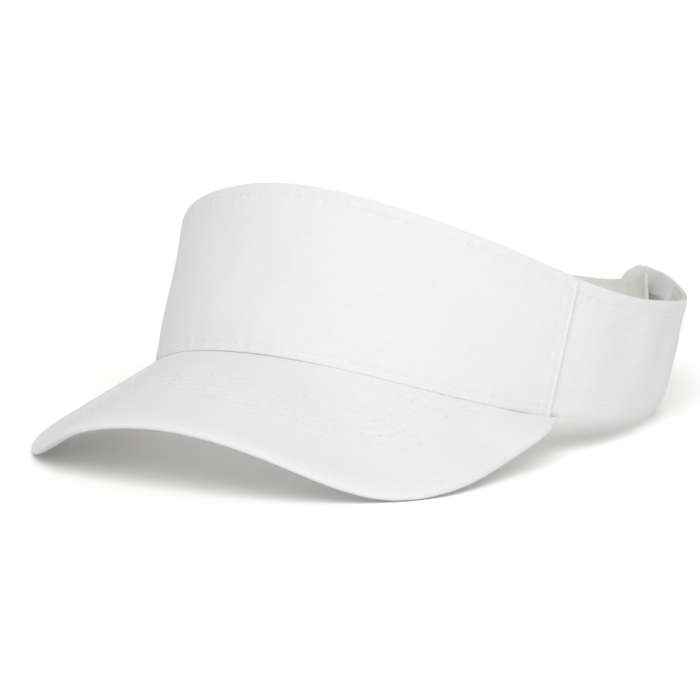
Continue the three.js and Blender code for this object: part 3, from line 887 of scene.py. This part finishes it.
def strip(name, deg_a, deg_b, lo_fn, hi_fn, depth_fn, thick, material, slot, rows=(2.0,), seed=1, step=0.42, bulge=0.08, both=True, inner_rows=True, roll=0.9, stand=None, hem=0.0, groove=0.12, thread=None):
    """Returns (piece, thread piece, frame function): a strip on the band between two angles, between two height curves."""
    deg = np.linspace(deg_a, deg_b, 600)
    stand = stand or (lambda d, z: 0 * d)
    mid = band_z(deg, (lo_fn(deg) + hi_fn(deg)) / 2)
    ss = np.concatenate([[0], np.cumsum(np.linalg.norm(np.diff(mid, axis=0), axis=1))])
    S = ss[-1]
    slant = 1.09
    nu = max(8, int(S / step))
    # even steps of length, closer at the two ends where the corners round off
    e = np.linspace(0, 1, nu)
    e = e - 0.045 * np.sin(2 * math.pi * e) / 1.0 * min(1.0, 12.0 / S) * 1.6
    e = (e - e[0]) / (e[-1] - e[0])
    D = np.interp(e * S, ss, deg)
    tall = float(np.max(hi_fn(D) - lo_fn(D)))
    nv = max(8, int(tall * slant / step))
    v = np.linspace(0, 1, nv)
    U = np.repeat(D[:, None], nv, 1)
    lo, hi = lo_fn(U), hi_fn(U)
    Z = lo + (hi - lo) * v[None]
    Sg = np.repeat((e * S)[:, None], nv, 1)
    Y = Z * slant
    k = np.arange(len(D))
    poly = np.concatenate([np.stack([e * S, lo[:, 0] * slant], -1), np.stack([e * S, hi[:, 0] * slant], -1)[::-1]])
    dist, along = outline_distance(Sg, Y, poly)
    r = bulge * waves(Sg, Y, seed, 15, 9, 0.5) * smooth(dist / 4)
    for row in rows:
        r = r + stitched(dist - row, along, depth=groove, width=0.5, seed=seed)
    r = r + 0.12 * smooth(dist / 1.2)
    N = normal_of(band_z, U, Z, 1.0)
    P = band_z(U, Z)
    depth = depth_fn(U) + stand(U, Z)
    O = P - N * (depth + 0.12 - r)[..., None]
    r2 = (r if both else 0 * r) + hem * (1 - smooth((Sg - 2.6) / 1.1)) * smooth(dist / 1.1)
    I = P - N * (depth + thick - 0.12 + r2)[..., None]
    o = patch(name, O, I, np.stack([Sg, Y], -1), material, roll=roll)
    paths = []
    c = poly.mean(0)
    for row in rows:
        # the outline moved in by the row's distance
        q = poly
        t = np.roll(q, -1, 0) - np.roll(q, 1, 0)
        n2 = np.stack([-t[:, 1], t[:, 0]], -1)
        n2 = n2 / np.maximum(np.linalg.norm(n2, axis=1, keepdims=True), 1e-9)
        if ((c - q) * n2).sum() < 0:
            n2 = -n2
        w = q + n2 * row
        d_, _ = outline_distance(w[:, 0], w[:, 1], poly)
        keep = d_ > row * 0.97
        w = w[keep]
        w = np.concatenate([w, w[:1]])
        dd = np.interp(w[:, 0], ss, deg)
        zz = w[:, 1] / slant
        n_ = normal_of(band_z, dd, zz, 1.0)
        base = band_z(dd, zz)
        paths.append((base - n_ * (depth_fn(dd) + stand(dd, zz) + 0.16)[:, None], n_))
        if both and inner_rows:
            paths.append((base - n_ * (depth_fn(dd) + stand(dd, zz) + thick - 0.16)[:, None], -n_))
    th = thread_piece(name + "_stitching", paths, thread or M_THREAD, seed=seed) if paths else None
    return o, th, (deg, ss)


def tab_round(deg):
    k = np.clip((deg - (TAB_TO - 2.6)) / 2.6, 0, 1)
    return 0.95 * 0.9 * np.log1p(np.exp((deg - 158.3) / 0.9)) + 8.5 * (1 - np.sqrt(np.maximum(0, 1 - k * k)))


def tab_lo(deg):
    e = smooth((deg - TAB_FROM) / 14)
    return z_low(deg) + (TAB_LOW - z_low(deg)) * e + tab_round(deg)


def tab_hi(deg):
    return upper_left(np.abs(wrapped(deg))) - tab_round(deg) - 0.4 * np.exp(-(((deg - 156.8) / 0.8) ** 2)) - 0.6 * smooth((deg - 146) / 8)


HOOK_DEPTH = TAB + GAP
LOOP_DEPTH = HOOK_DEPTH + HOOK + GAP
STRAP_DEPTH = LOOP_DEPTH + LOOP + GAP


def strap_round(deg):
    k = np.clip((STRAP_FROM + 5 - deg) / 5, 0, 1)
    return 6 * (1 - np.sqrt(np.maximum(0, 1 - k * k)))


def strap_high(deg):
    k = np.maximum(0, (STRAP_LEVEL - deg) / (STRAP_LEVEL - STRAP_FROM))
    return STRAP_HIGH + STRAP_RISE * k * k


def strap_depth(deg):
    e = smooth((deg - 196) / 18)
    return STRAP_DEPTH + (TWILL + LINING + 2 * GAP + 0.05 - STRAP_DEPTH) * e


# The free end curls away from the tab, most at its top corner.
def strap_curl(deg, z):
    k = np.maximum(0, (157 - deg) / 12)
    return k * k * (0.6 + 3.4 * smooth((z - 28) / 12))


def tufts(name, deg_a, deg_b, z_a, z_b, depth, outward, pitch, material, kind, seed):
    """A field of small hooks or loops standing on a strip."""
    rng = np.random.default_rng(seed)
    deg = np.linspace(deg_a, deg_b, 300)
    mid = band_z(deg, (z_a(deg) + z_b(deg)) / 2)
    ss = np.concatenate([[0], np.cumsum(np.linalg.norm(np.diff(mid, axis=0), axis=1))])
    n_s, n_y = int(ss[-1] / pitch), int(float((z_b(deg) - z_a(deg)).mean()) * 1.09 / pitch)
    gs, gy = np.meshgrid((np.arange(n_s) + 0.5) / n_s, (np.arange(n_y) + 0.5) / n_y, indexing="ij")
    gs = gs + (np.arange(n_y) % 2)[None] * 0.5 / n_s - 0.25 / n_s
    jitter = 0.10 if kind == "hook" else 0.42
    gs = np.clip(gs + rng.normal(0, jitter / n_s, gs.shape), 0.005, 0.995).ravel()
    gy = np.clip(gy + rng.normal(0, jitter / n_y, gy.shape), 0.005, 0.995).ravel()
    dd = np.interp(gs * ss[-1], ss, deg)
    zz = z_a(dd) + (z_b(dd) - z_a(dd)) * gy
    N = normal_of(band_z, dd, zz, 1.0)
    base = band_z(dd, zz) - N * depth
    up = N if outward else -N
    T = unit(band_z(dd + 0.3, zz) - band_z(dd - 0.3, zz))
    n = len(dd)
    if kind == "hook":
        k = np.array([0.0, 0.35, 0.7, 0.92, 0.98, 0.86])
        f = np.array([0.0, 0.0, 0.03, 0.14, 0.32, 0.42])
        rise, rad_, ang = 0.62, 0.085, rng.normal(0, 0.12, n) + np.where(rng.random(n) < 0.5, 0, math.pi)
    else:
        k = np.array([0.0, 0.55, 0.95, 1.0, 0.62, 0.05])
        f = np.array([0.0, 0.05, 0.35, 0.75, 1.05, 1.15])
        rise, rad_, ang = 0.55, 0.045, rng.uniform(0, 2 * math.pi, n)
    rise = rise * (1 + rng.normal(0, 0.12, n))
    B = np.cross(up, T)
    L = T * np.cos(ang)[:, None] + B * np.sin(ang)[:, None]
    R = np.cross(L, up)
    sides = 4
    a = np.arange(sides) * 2 * math.pi / sides
    V = []
    for i in range(len(k)):
        c = base + up * (k[i] * rise)[:, None] + L * f[i]
        j0, j1 = max(0, i - 1), min(len(k) - 1, i + 1)
        t = unit(up * ((k[j1] - k[j0]) * rise)[:, None] + L * (f[j1] - f[j0]))
        s2 = np.cross(R, t)
        V.append((c[:, None] + rad_ * (np.cos(a)[None, :, None] * R[:, None] + np.sin(a)[None, :, None] * s2[:, None])).reshape(-1, 3))
    kk = np.arange(n)[:, None] * sides + np.arange(sides)[None]
    kn = np.arange(n)[:, None] * sides + (np.arange(sides)[None] + 1) % sides
    F = []
    for i in range(len(k) - 1):
        p, q = i * n * sides, (i + 1) * n * sides
        F.append(np.stack([p + kk, p + kn, q + kn, q + kk], -1).reshape(-1, 4))
    F.append(kk[:, ::-1])
    F.append(kk + (len(k) - 1) * n * sides)
    return new_mesh(name, np.concatenate(V), [np.concatenate(F)], None, material)


def make_closure():
    tab, th, _ = strip("closure_tab_left_cloth", TAB_FROM, TAB_TO, tab_lo, tab_hi, lambda d: 0 * d, TAB, M_SIDE, "twill", rows=(2.3,), seed=61, both=False)
    blended(tab, ["closure_tab_left"])
    blended(th, [])
    declare_sheet(tab)
    hook, hth, _ = strip("hook_tape_base", 143.5, 161.0, lambda d: 12.5 + 0 * d, lambda d: 33.5 + 0 * d, lambda d: HOOK_DEPTH - 0.25 + 0 * d, 0.62, M_HOOKBASE_PAINTED_SHADE, "hook", rows=(1.2,), seed=62, bulge=0.03, both=True, thread=M_THREAD_IN)
    blended(hook, ["hook_tape"])
    blended(hth, [])
    hooks = tufts("hook_tape_hooks", 144.6, 159.9, lambda d: 14.4 + 0 * d, lambda d: 31.6 + 0 * d, HOOK_DEPTH + 0.22, False, 0.95, M_HOOK_PAINTED_SHADE, "hook", 63)
    blended(hooks, [])
    strap, sth, _ = strip("closure_strap_right_cloth", STRAP_FROM, STRAP_TO, lambda d: strap_high(d) - STRAP_WIDTH + strap_round(d), lambda d: strap_high(d) - strap_round(d), strap_depth, TAB, M_IN_PAINTED_SHADE, "twill", rows=(2.0,), seed=64, stand=strap_curl, hem=0.5, groove=0.08, thread=M_THREAD_IN)
    finish_piece(strap, "crown", ["closure_strap_right"])
    finish_piece(sth, "crown")
    declare_sheet(strap)
    loop, lth, _ = strip("loop_tape_base", 156.5, 193.0, lambda d: strap_high(d) - STRAP_WIDTH + 2.2, lambda d: strap_high(d) - 2.2, lambda d: LOOP_DEPTH + 0.42 + 0 * d, 0.62, M_LOOPBASE, "loop", rows=(1.2,), seed=65, bulge=0.03, both=False)
    finish_piece(loop, "crown", ["loop_tape"])
    finish_piece(lth, "crown")
    loops = tufts("loop_tape_pile", 157.4, 192.1, lambda d: strap_high(d) - STRAP_WIDTH + 4.0, lambda d: strap_high(d) - 4.0, LOOP_DEPTH + 0.50, True, 0.72, M_LOOP, "loop", 66)
    finish_piece(loops, "crown")


# ------------------------------------------------------------------ brim
BRIM_ROWS = (21.5, 25.3, 29.1, 32.9, 36.7, 40.5)
BRIM_SIDE = BRIM_END - 0.1


def brim_rim():
    deg = np.linspace(-BRIM_END, BRIM_END, 1600)
    p = brim_edge(deg)
    s = np.concatenate([[0], np.cumsum(np.linalg.norm(np.diff(p, axis=0), axis=1))])
    return deg, p, s


RIM_DEG, RIM_P, RIM_S = brim_rim()


def rim_distance(P):
    """Distance of points of the mid-surface from the rim, and the rim's length there."""
    flat = P.reshape(-1, 3)
    best, at = np.empty(len(flat)), np.empty(len(flat), int)
    for i in range(0, len(flat), 4096):
        q = flat[i:i + 4096]
        d2 = ((q[:, None] - RIM_P[None]) ** 2).sum(-1)
        j = d2.argmin(1)
        best[i:i + 4096] = np.sqrt(d2[np.arange(len(q)), j])
        at[i:i + 4096] = j
    return best.reshape(P.shape[:-1]), RIM_S[at].reshape(P.shape[:-1])


def brim_relief(D, A, s, L, seed):
    """Relief of a stitched brim cover at a distance D from the rim. s and L, its place from the inner edge, are not
    used.
    """
    r = 0 * D
    for i, row in enumerate(BRIM_ROWS):
        r = r + stitched(D - row, A, depth=0.08, width=0.7, seed=seed + i, pucker=0.05, reach_mm=1.8)
    return r


def brim_over(D):
    """Height of the top cover's face above the mid-plane at a distance from the rim."""
    k = np.clip((D - 0.9) / 6.5, 0, 1)
    return 0.92 + 0.86 * np.sqrt(1 - (1 - k) ** 2)


# The covers close on each other beyond the board, and the top one rises to meet the panel's edge.
def brim_thin(deg):
    return 1 - 0.5 * smooth((np.abs(deg) - 61.5) / 8)


def brim_lift(deg):
    return 2.3 * smooth((np.abs(deg) - 59) / 12.5)


def brim_raise(deg, s):
    return (0.64 + 0.6 * np.maximum(0, (np.abs(deg) - 54) / 16) ** 2 + 0.7 * np.exp(-(((np.abs(deg) - 67.5) / 3.0) ** 2))) * np.clip(1 - s / 0.8, 0, 1) ** 1.6


def brim_columns(n):
    deg = np.linspace(-BRIM_SIDE, BRIM_SIDE, 1500)
    a, b = brim_mid(deg, 0.85 + 0 * deg), brim_mid(deg, 0.3 + 0 * deg)
    ds = np.linalg.norm(np.diff(a, axis=0), axis=1) * 0.6 + np.linalg.norm(np.diff(b, axis=0), axis=1) * 0.4
    s = np.concatenate([[0], np.cumsum(ds)])
    return np.interp(np.linspace(0, s[-1], n), s, deg)


def brim_frame(deg, inner_mm):
    """Mid-surface points and up normals at distances in from the rim along each ruled line."""
    L = brim_length(deg)
    s = 1 - inner_mm / L
    return brim_mid(deg, s), brim_up(deg, s), s


def make_brim():
    nu, nv = 430, 98
    deg = brim_columns(nu)
    L = brim_length(deg)
    v = np.linspace(0, 1, nv)
    # along each line: from the inner edge (v = 0) to just inside the rim
    inset = 0.95
    IN = inset + (L[:, None] - inset) * (1 - v[None]) ** 1.05
    DEG = np.repeat(deg[:, None], nv, 1)
    LL = np.repeat(L[:, None], nv, 1)
    S = 1 - IN / LL
    P, UP = brim_mid(DEG, S), brim_up(DEG, S)
    D, A = rim_distance(P)
    wobble = 0.22 * waves(P[..., 0], P[..., 1], 71, 46, 8, 0.4) * smooth(D / 12) * smooth((LL - IN - 3) / 9)
    r = brim_relief(D, A, S, LL, 72) * smooth((IN - 2.0) / 2.0)
    thin, lift = brim_thin(DEG), brim_lift(DEG)
    top = P + UP * (brim_over(D) * thin + lift + brim_raise(DEG, S) + r + wobble)[..., None]
    # round the rim and back under it
    out = unit(brim_mid(deg, 1 + 0 * deg) - brim_mid(deg, 0.9 + 0 * deg))
    R = 0.92
    thin, lift = brim_thin(deg)[:, None], brim_lift(deg)[:, None]
    base, up = brim_mid(deg, 1 - inset / L), brim_up(deg, 1 - inset / L)
    base = base + up * lift
    wrap_rows = []
    for th in np.linspace(0, math.pi, 12)[1:]:
        wrap_rows.append(base + up * (R * math.cos(th)) * thin + out * (R * math.sin(th)))
    for back in (0.2, 0.38, 0.55):
        wrap_rows.append(base - up * (R - 0.03) * thin - out * back * np.minimum(1, (L[:, None] - 0.5) / 3.6))
    wrap_rows = np.stack(wrap_rows, 1)
    wob_rim = 0.05 * line_noise(A[:, -1], 79, 9.0)
    wrap_rows = wrap_rows + (up * wob_rim[:, None])[:, None]
    O = np.concatenate([top, wrap_rows], 1)
    # the cover's inner face
    N = face_normals_grid(O)
    if (N[:, 10] * UP[:, 10]).sum() < 0:
        N = -N
    thick = np.concatenate([np.full((nu, nv), 0.55), np.full((nu, wrap_rows.shape[1]), 0.42)], 1)
    I = O - N * thick[..., None]
    yy = np.concatenate([-np.cumsum(np.linalg.norm(np.diff(O, axis=1, prepend=O[:, :1]), axis=2), axis=1)], 1)
    uv = np.stack([O[..., 0], O[..., 1]], -1)
    drop = np.concatenate([np.zeros((nu, nv)), np.broadcast_to(np.linspace(0.3, 3.2, wrap_rows.shape[1])[None], (nu, wrap_rows.shape[1]))], 1)
    uv = uv + drop[..., None] * np.stack([out[:, 0], out[:, 1]], -1)[:, None]
    o = patch("brim_top_cloth", O, I, uv, M_BRIM, roll=0.8)
    finish_piece(o, "crown", ["brim_top_cover"])
    declare_sheet(o)

    # under cover, tucked against the turned rim
    nvu = 70
    v = np.linspace(0, 1, nvu)
    start = 1.42
    IN = start + (L[:, None] - start) * (1 - v[None])
    IN = np.minimum(IN, LL[:, :1])
    S2 = 1 - IN / LL[:, :1]
    DEG2 = np.repeat(deg[:, None], nvu, 1)
    P2, UP2 = brim_mid(DEG2, S2), brim_up(DEG2, S2)
    D2, A2 = rim_distance(P2)
    r2 = brim_relief(D2, A2, S2, LL[:, :1], 82) * smooth((IN - 2.0) / 2.0)
    height = brim_over(np.maximum(D2, 1.0)) + 0.14 * waves(P2[..., 0], P2[..., 1], 85, 40, 8, 0.4) * smooth(D2 / 12)
    thin2, lift2 = brim_thin(DEG2), brim_lift(DEG2)
    O2 = P2 - UP2 * ((height + r2) * thin2 - lift2)[..., None]
    I2 = P2 - UP2 * ((height - 0.45) * thin2 - lift2)[..., None]
    u = patch("brim_under_cloth", O2, I2, np.stack([P2[..., 0], P2[..., 1]], -1), M_UNDER, roll=0.8)
    finish_piece(u, "crown", ["brim_under_cover"])
    declare_sheet(u)

    # rows of stitches, above and below
    fine = brim_columns(1400)
    Lf = brim_length(fine)
    grid = np.linspace(0, 1, 260)
    Pg = brim_mid(np.repeat(fine[::2, None], 260, 1), np.repeat(grid[None], 700, 0))
    Dg, Ag = rim_distance(Pg)
    top_paths, low_paths = [], []
    for row in BRIM_ROWS:
        run_d, run_s = [], []
        for i in range(700):
            dcol = Dg[i]
            j = np.nonzero((dcol[:-1] >= row) & (dcol[1:] < row))[0]
            if len(j) and (dcol[0] > row):
                j = j[-1]
                f = (dcol[j] - row) / (dcol[j] - dcol[j + 1] + 1e-9)
                run_d.append(fine[::2][i])
                run_s.append(grid[j] + f * (grid[j + 1] - grid[j]))
        run_d, run_s = np.array(run_d), np.array(run_s)
        if len(run_d) < 10:
            continue
        inner = BRIM_TUCK / brim_length(run_d) + 0.012
        ok = run_s > inner
        run_d, run_s = run_d[ok], run_s[ok]
        Pm, Un = brim_mid(run_d, run_s), brim_up(run_d, run_s)
        wob = 0.22 * waves(Pm[..., 0], Pm[..., 1], 71, 46, 8, 0.4) * smooth(row / 12) * smooth((brim_length(run_d) * run_s - 3) / 9)
        top_paths.append((Pm + Un * (brim_over(np.full(len(Pm), row)) * brim_thin(run_d) + brim_lift(run_d) + brim_raise(run_d, run_s) + wob - 0.06)[:, None], Un))
        wob = 0.14 * waves(Pm[..., 0], Pm[..., 1], 85, 40, 8, 0.4)
        low_paths.append((Pm - Un * ((brim_over(np.full(len(Pm), row)) + wob - 0.06) * brim_thin(run_d) - brim_lift(run_d))[:, None], -Un))
    th = thread_piece("brim_top_stitching", top_paths, M_THREAD)
    finish_piece(th, "crown")
    th = thread_piece("brim_under_stitching", low_paths, M_THREAD)
    finish_piece(th, "crown")

    # the board inside keeps its own shape, as moulded plastic with a fine matt grain
    m, nt, b, vec = shader("brim_board_plastic", 0.5, 0.0, specular=0.45, uv=None)
    n1 = noise_node(nt, vec, 700.0, 3.0, 0.5)
    nt.links.new(ramp_node(nt, n1, [(0.3, (0.80, 0.81, 0.80)), (0.7, (0.86, 0.87, 0.86))]), b.inputs["Base Color"])
    nt.links.new(math_node(nt, "MULTIPLY_ADD", n1, 0.2, 0.4), b.inputs["Roughness"])
    bn = nt.nodes.new("ShaderNodeBump")
    bn.inputs["Strength"].default_value = 0.15
    bn.inputs["Distance"].default_value = 0.0002
    nt.links.new(n1, bn.inputs["Height"])
    nt.links.new(bn.outputs["Normal"], b.inputs["Normal"])
    for s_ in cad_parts["brim_board"].material_slots:
        s_.material = m


# ------------------------------------------------------------------ inside of the front
def make_inside():
    seam_in = lambda side: (lambda t: side * (seam_at(t) - 0.9))
    inner_ply("front_backing_cloth", "crown", ["front_backing"], M_BACK, seam_in(-1), seam_in(1), 0.06, 0.975, 1.05, 0.5, 0.12, 91, nu=170, nv=30)
    inner_ply("front_facing_cloth", "crown", ["front_facing"], M_IN_PAINTED_SHADE, seam_in(-1), seam_in(1), 0.06, 0.994, 1.95, 0.62, 1.05, 92, nu=300, relief=0.14, rows=(TOP_ROW - 0.35,))
    inner_ply("side_lining_left_cloth", "left_side", ["side_lining_left"], M_IN_PAINTED_SHADE, lambda t: seam_at(t) + 0.35, LEFT_PANEL_END - 0.35, 0.012, 0.994, 1.1, 0.62, 0.42, 93, nu=200, relief=0.12, rows=(SIDE_TOP_ROW - 0.5, -(SIDE_LOW_ROW - 0.5)), blend=SIDE_BLEND, dip=1, hem=0.55)
    inner_ply("side_lining_right_cloth", "crown", ["side_lining_right"], M_IN_PAINTED_SHADE, RIGHT_PANEL_END + 0.35, lambda t: 360 - seam_at(t) - 0.35, 0.012, 0.994, 1.1, 0.62, 0.42, 94, nu=200, relief=0.12, rows=(SIDE_TOP_ROW - 0.5, -(SIDE_LOW_ROW - 0.5)), dip=-1, hem=0.35)
    for name, side in (("seam_tape_left", 1), ("seam_tape_right", -1)):
        n_u, n_v = 26, 110
        U, V = np.meshgrid(np.linspace(-1, 1, n_u), np.linspace(0.03, 0.965, n_v), indexing="ij")
        W = side * (seam_at(V) + U * 4.1)
        along = V * 46
        N = normal_of(band, W, V, 0.02)
        P = band(W, V)
        r = stitched((np.abs(U) - 0.72) * 6.0, along, depth=0.16, width=0.45, seed=95) + 0.10 * line_noise(along, 96, 9.0) * (1 - U ** 2)
        # it lies on the facing ahead of the seam and on the lining behind it
        rear = smooth((U + 0.15) / 0.9)
        lift = 2.62 - 0.75 * rear - 0.5 * smooth((V - 0.93) / 0.05) + seam_dip(U * 6.0, V * 46, (1 - V) * 46)
        O = P - N * lift[..., None]
        I = P - N * (lift + 0.55 + r)[..., None]
        o = patch(name + "_cloth", O, I, np.stack([U * 6, along], -1), M_TAPE, roll=0.8)
        vv = np.linspace(0.04, 0.955, 120)
        paths = []
        for e in (-0.72, 0.72):
            w_ = side * (seam_at(vv) + e * 4.1)
            n_ = normal_of(band, w_, vv, 0.02)
            rr_ = smooth((np.array(e) + 0.15) / 0.9)
            paths.append((band(w_, vv) - n_ * (2.62 - 0.75 * rr_ - 0.5 * smooth((vv - 0.93) / 0.05) + seam_dip(e * 6.0 + 0 * vv, vv * 46, (1 - vv) * 46) + 0.55 - 0.10)[:, None], -n_))
        th = thread_piece(name + "_stitching", paths, M_THREAD_IN)
        if side > 0:
            blended(o, [name])
            blended(th, [])
        else:
            finish_piece(o, "crown", [name])
            finish_piece(th, "crown")
        declare_sheet(o)

    # sweatband: a soft strip folded over at its top edge, sewn along its foot and just under the fold
    end = 62.3
    tab_d, tab_s = arc(band, -end, end, 0.2, 800)
    S = tab_s[-1]
    us = np.linspace(0, 1, 330)
    hh = steps(32.0, [(0, 6.0), (27.5, 32.0)], 0.35, 0.9) * 32.0 - 2.0
    U, Hh = np.meshgrid(us, hh, indexing="ij")
    deg = np.interp(U * S, tab_s, tab_d)
    T = Hh / height_of(deg)
    s = U * S
    N = normal_of(band, deg, T, 0.02)
    P = band(deg, T)
    body = 1 - np.clip((Hh - 24) / 6, 0, 1) ** 3
    endfall = smooth(np.minimum(s, S - s) / 4)
    face = 3.15 + 0.55 * smooth(-Hh / 1.2) + 1.75 * body * (0.35 + 0.65 * endfall) * (0.55 + 0.45 * smooth(Hh / 5))
    gather = 0.16 * line_noise(s, 97, 5.5) * np.exp(-((Hh / 9.0) ** 2)) + 0.13 * line_noise(s, 98, 7.0) * np.exp(-(((Hh - 27) / 5.0) ** 2))
    r = gather + 0.18 * waves(s, Hh, 99, 21, 9, 0.5)
    r = r + stitched(Hh - 2.2, s, depth=0.2, width=0.55, seed=100) + stitched(Hh - 27.2, s, depth=0.2, width=0.55, seed=101)
    I = P - N * (face + r)[..., None]
    O = P - N * (face - 0.65)[..., None]
    o = patch("sweatband_cloth", O, I, np.stack([s, Hh], -1), M_SWEAT, roll=1.0)
    finish_piece(o, "crown", ["sweatband"])
    declare_sheet(o)
    paths = []
    uu = np.linspace(0.01, 0.99, 500)
    dd = np.interp(uu * S, tab_s, tab_d)
    for row in (2.2, 27.2):
        tt = row / height_of(dd)
        n_ = normal_of(band, dd, tt, 0.02)
        b_ = 1 - np.clip((row - 24) / 6, 0, 1) ** 3
        f_ = 3.15 + 1.75 * b_ * (0.35 + 0.65 * smooth(np.minimum(uu * S, S - uu * S) / 4)) * (0.55 + 0.45 * smooth(row / 5))
        g_ = 0.16 * line_noise(uu * S, 97, 5.5) * math.exp(-((row / 9.0) ** 2)) + 0.13 * line_noise(uu * S, 98, 7.0) * math.exp(-(((row - 27) / 5.0) ** 2))
        paths.append((band(dd, tt) - n_ * (f_ + g_ - 0.12)[:, None], -n_))
    th = thread_piece("sweatband_stitching", paths, M_THREAD_IN)
    finish_piece(th, "crown")
    # the pad in its fold
    U, Hh = np.meshgrid(np.linspace(0, 1, 150), np.linspace(3.0, 26.0, 22), indexing="ij")
    deg = np.interp(U * (S - 3) + 1.5, tab_s, tab_d)
    T = Hh / height_of(deg)
    N = normal_of(band, deg, T, 0.02)
    P = band(deg, T)
    O = P - N * 2.95
    I = P - N * (3.55 + 0.35 * smooth((Hh - 3) / 4) * smooth((26 - Hh) / 4) * smooth(np.minimum(U, 1 - U) / 0.03))[..., None]
    o = patch("sweatband_pad_felt", O, I, np.stack([U * S, Hh], -1), M_BACK, roll=0.9)
    finish_piece(o, "crown", ["sweatband_pad"])


# ------------------------------------------------------------------ camera, floor, light
def add_camera():
    pos = to_frame(np.array([953.844, -1525.160, 347.866]))
    back = np.array([0.53149215, -0.82831521, 0.1772287])
    right = np.array([0.8416386, 0.54004117, 0.0])
    up = np.array([-0.09571079, 0.14916251, 0.98416969])
    cam = bpy.data.cameras.new("camera")
    cam.sensor_width = 36.0
    cam.lens = 5284.48 / 700 * 36.0
    cam.clip_start, cam.clip_end = 0.1, 60
    cam.dof.use_dof = False
    o = bpy.data.objects.new("camera", cam)
    bpy.context.scene.collection.objects.link(o)
    o.matrix_world = Matrix(((right[0], up[0], back[0], pos[0]), (right[1], up[1], back[1], pos[1]), (right[2], up[2], back[2], pos[2]), (0, 0, 0, 1)))
    bpy.context.scene.camera = o


def add_floor():
    n = 96
    rings = [0.0, 0.25, 0.5, 1.0, 2.0, 4.0, 9.0]
    verts, faces = [(0, 0, 0)], []
    for r in rings[1:]:
        verts += [(r * math.cos(2 * math.pi * i / n), r * math.sin(2 * math.pi * i / n), 0) for i in range(n)]
    faces += [(0, 1 + i, 1 + (i + 1) % n) for i in range(n)]
    for k in range(len(rings) - 2):
        a, b = 1 + k * n, 1 + (k + 1) * n
        faces += [(a + i, b + i, b + (i + 1) % n, a + (i + 1) % n) for i in range(n)]
    me = bpy.data.meshes.new("floor")
    me.from_pydata(verts, [], faces)
    o = bpy.data.objects.new("floor", me)
    bpy.context.scene.collection.objects.link(o)
    o.location.z = -0.0003
    m = bpy.data.materials.new("floor_white")
    m.use_nodes = True
    nt = m.node_tree
    b = nt.nodes["Principled BSDF"]
    b.inputs["Roughness"].default_value = 0.9
    b.inputs["Specular IOR Level"].default_value = 0.1
    b.inputs["Base Color"].default_value = (0.99, 0.984, 0.976, 1)
    b.inputs["Emission Color"].default_value = (1, 0.985, 0.965, 1)
    b.inputs["Emission Strength"].default_value = 0.06
    me.materials.append(m)


def area_light(name, loc, target, size, energy, color=(1, 1, 1)):
    l = bpy.data.lights.new(name, "AREA")
    l.shape = "DISK"
    l.size = size
    l.energy = energy
    l.color = color
    o = bpy.data.objects.new(name, l)
    bpy.context.scene.collection.objects.link(o)
    z = np.array(loc, float) - np.array(target, float)
    z = z / np.linalg.norm(z)
    x = np.cross([0, 0, 1.0], z)
    x = x / np.linalg.norm(x)
    y = np.cross(z, x)
    o.matrix_world = Matrix(((x[0], y[0], z[0], loc[0]), (x[1], y[1], z[1], loc[1]), (x[2], y[2], z[2], loc[2]), (0, 0, 0, 1)))


def add_light():
    w = bpy.data.worlds.new("studio")
    bpy.context.scene.world = w
    w.use_nodes = True
    bg = w.node_tree.nodes["Background"]
    bg.inputs["Color"].default_value = (1, 1, 1, 1)
    bg.inputs["Strength"].default_value = 0.56
    sun = bpy.data.lights.new("key", "SUN")
    sun.energy = 1.86
    sun.angle = math.radians(48)
    o = bpy.data.objects.new("key", sun)
    bpy.context.scene.collection.objects.link(o)
    o.rotation_euler = Vector((0.405, -0.555, 0.727)).to_track_quat("Z", "Y").to_euler()
    bpy.context.scene.view_settings.view_transform = "Standard"
    bpy.context.scene.view_settings.look = "None"


make_front()
make_side("side_panel_left", True)
make_side("side_panel_right", False)
make_seam_ridge("seam_ridge_left", 1)
make_seam_ridge("seam_ridge_right", -1)
make_brim()
make_inside()
make_closure()
add_camera()
add_floor()
add_light()

for row in SHEETS:
    print("sheet", *row)
low, high = CAD_BOX
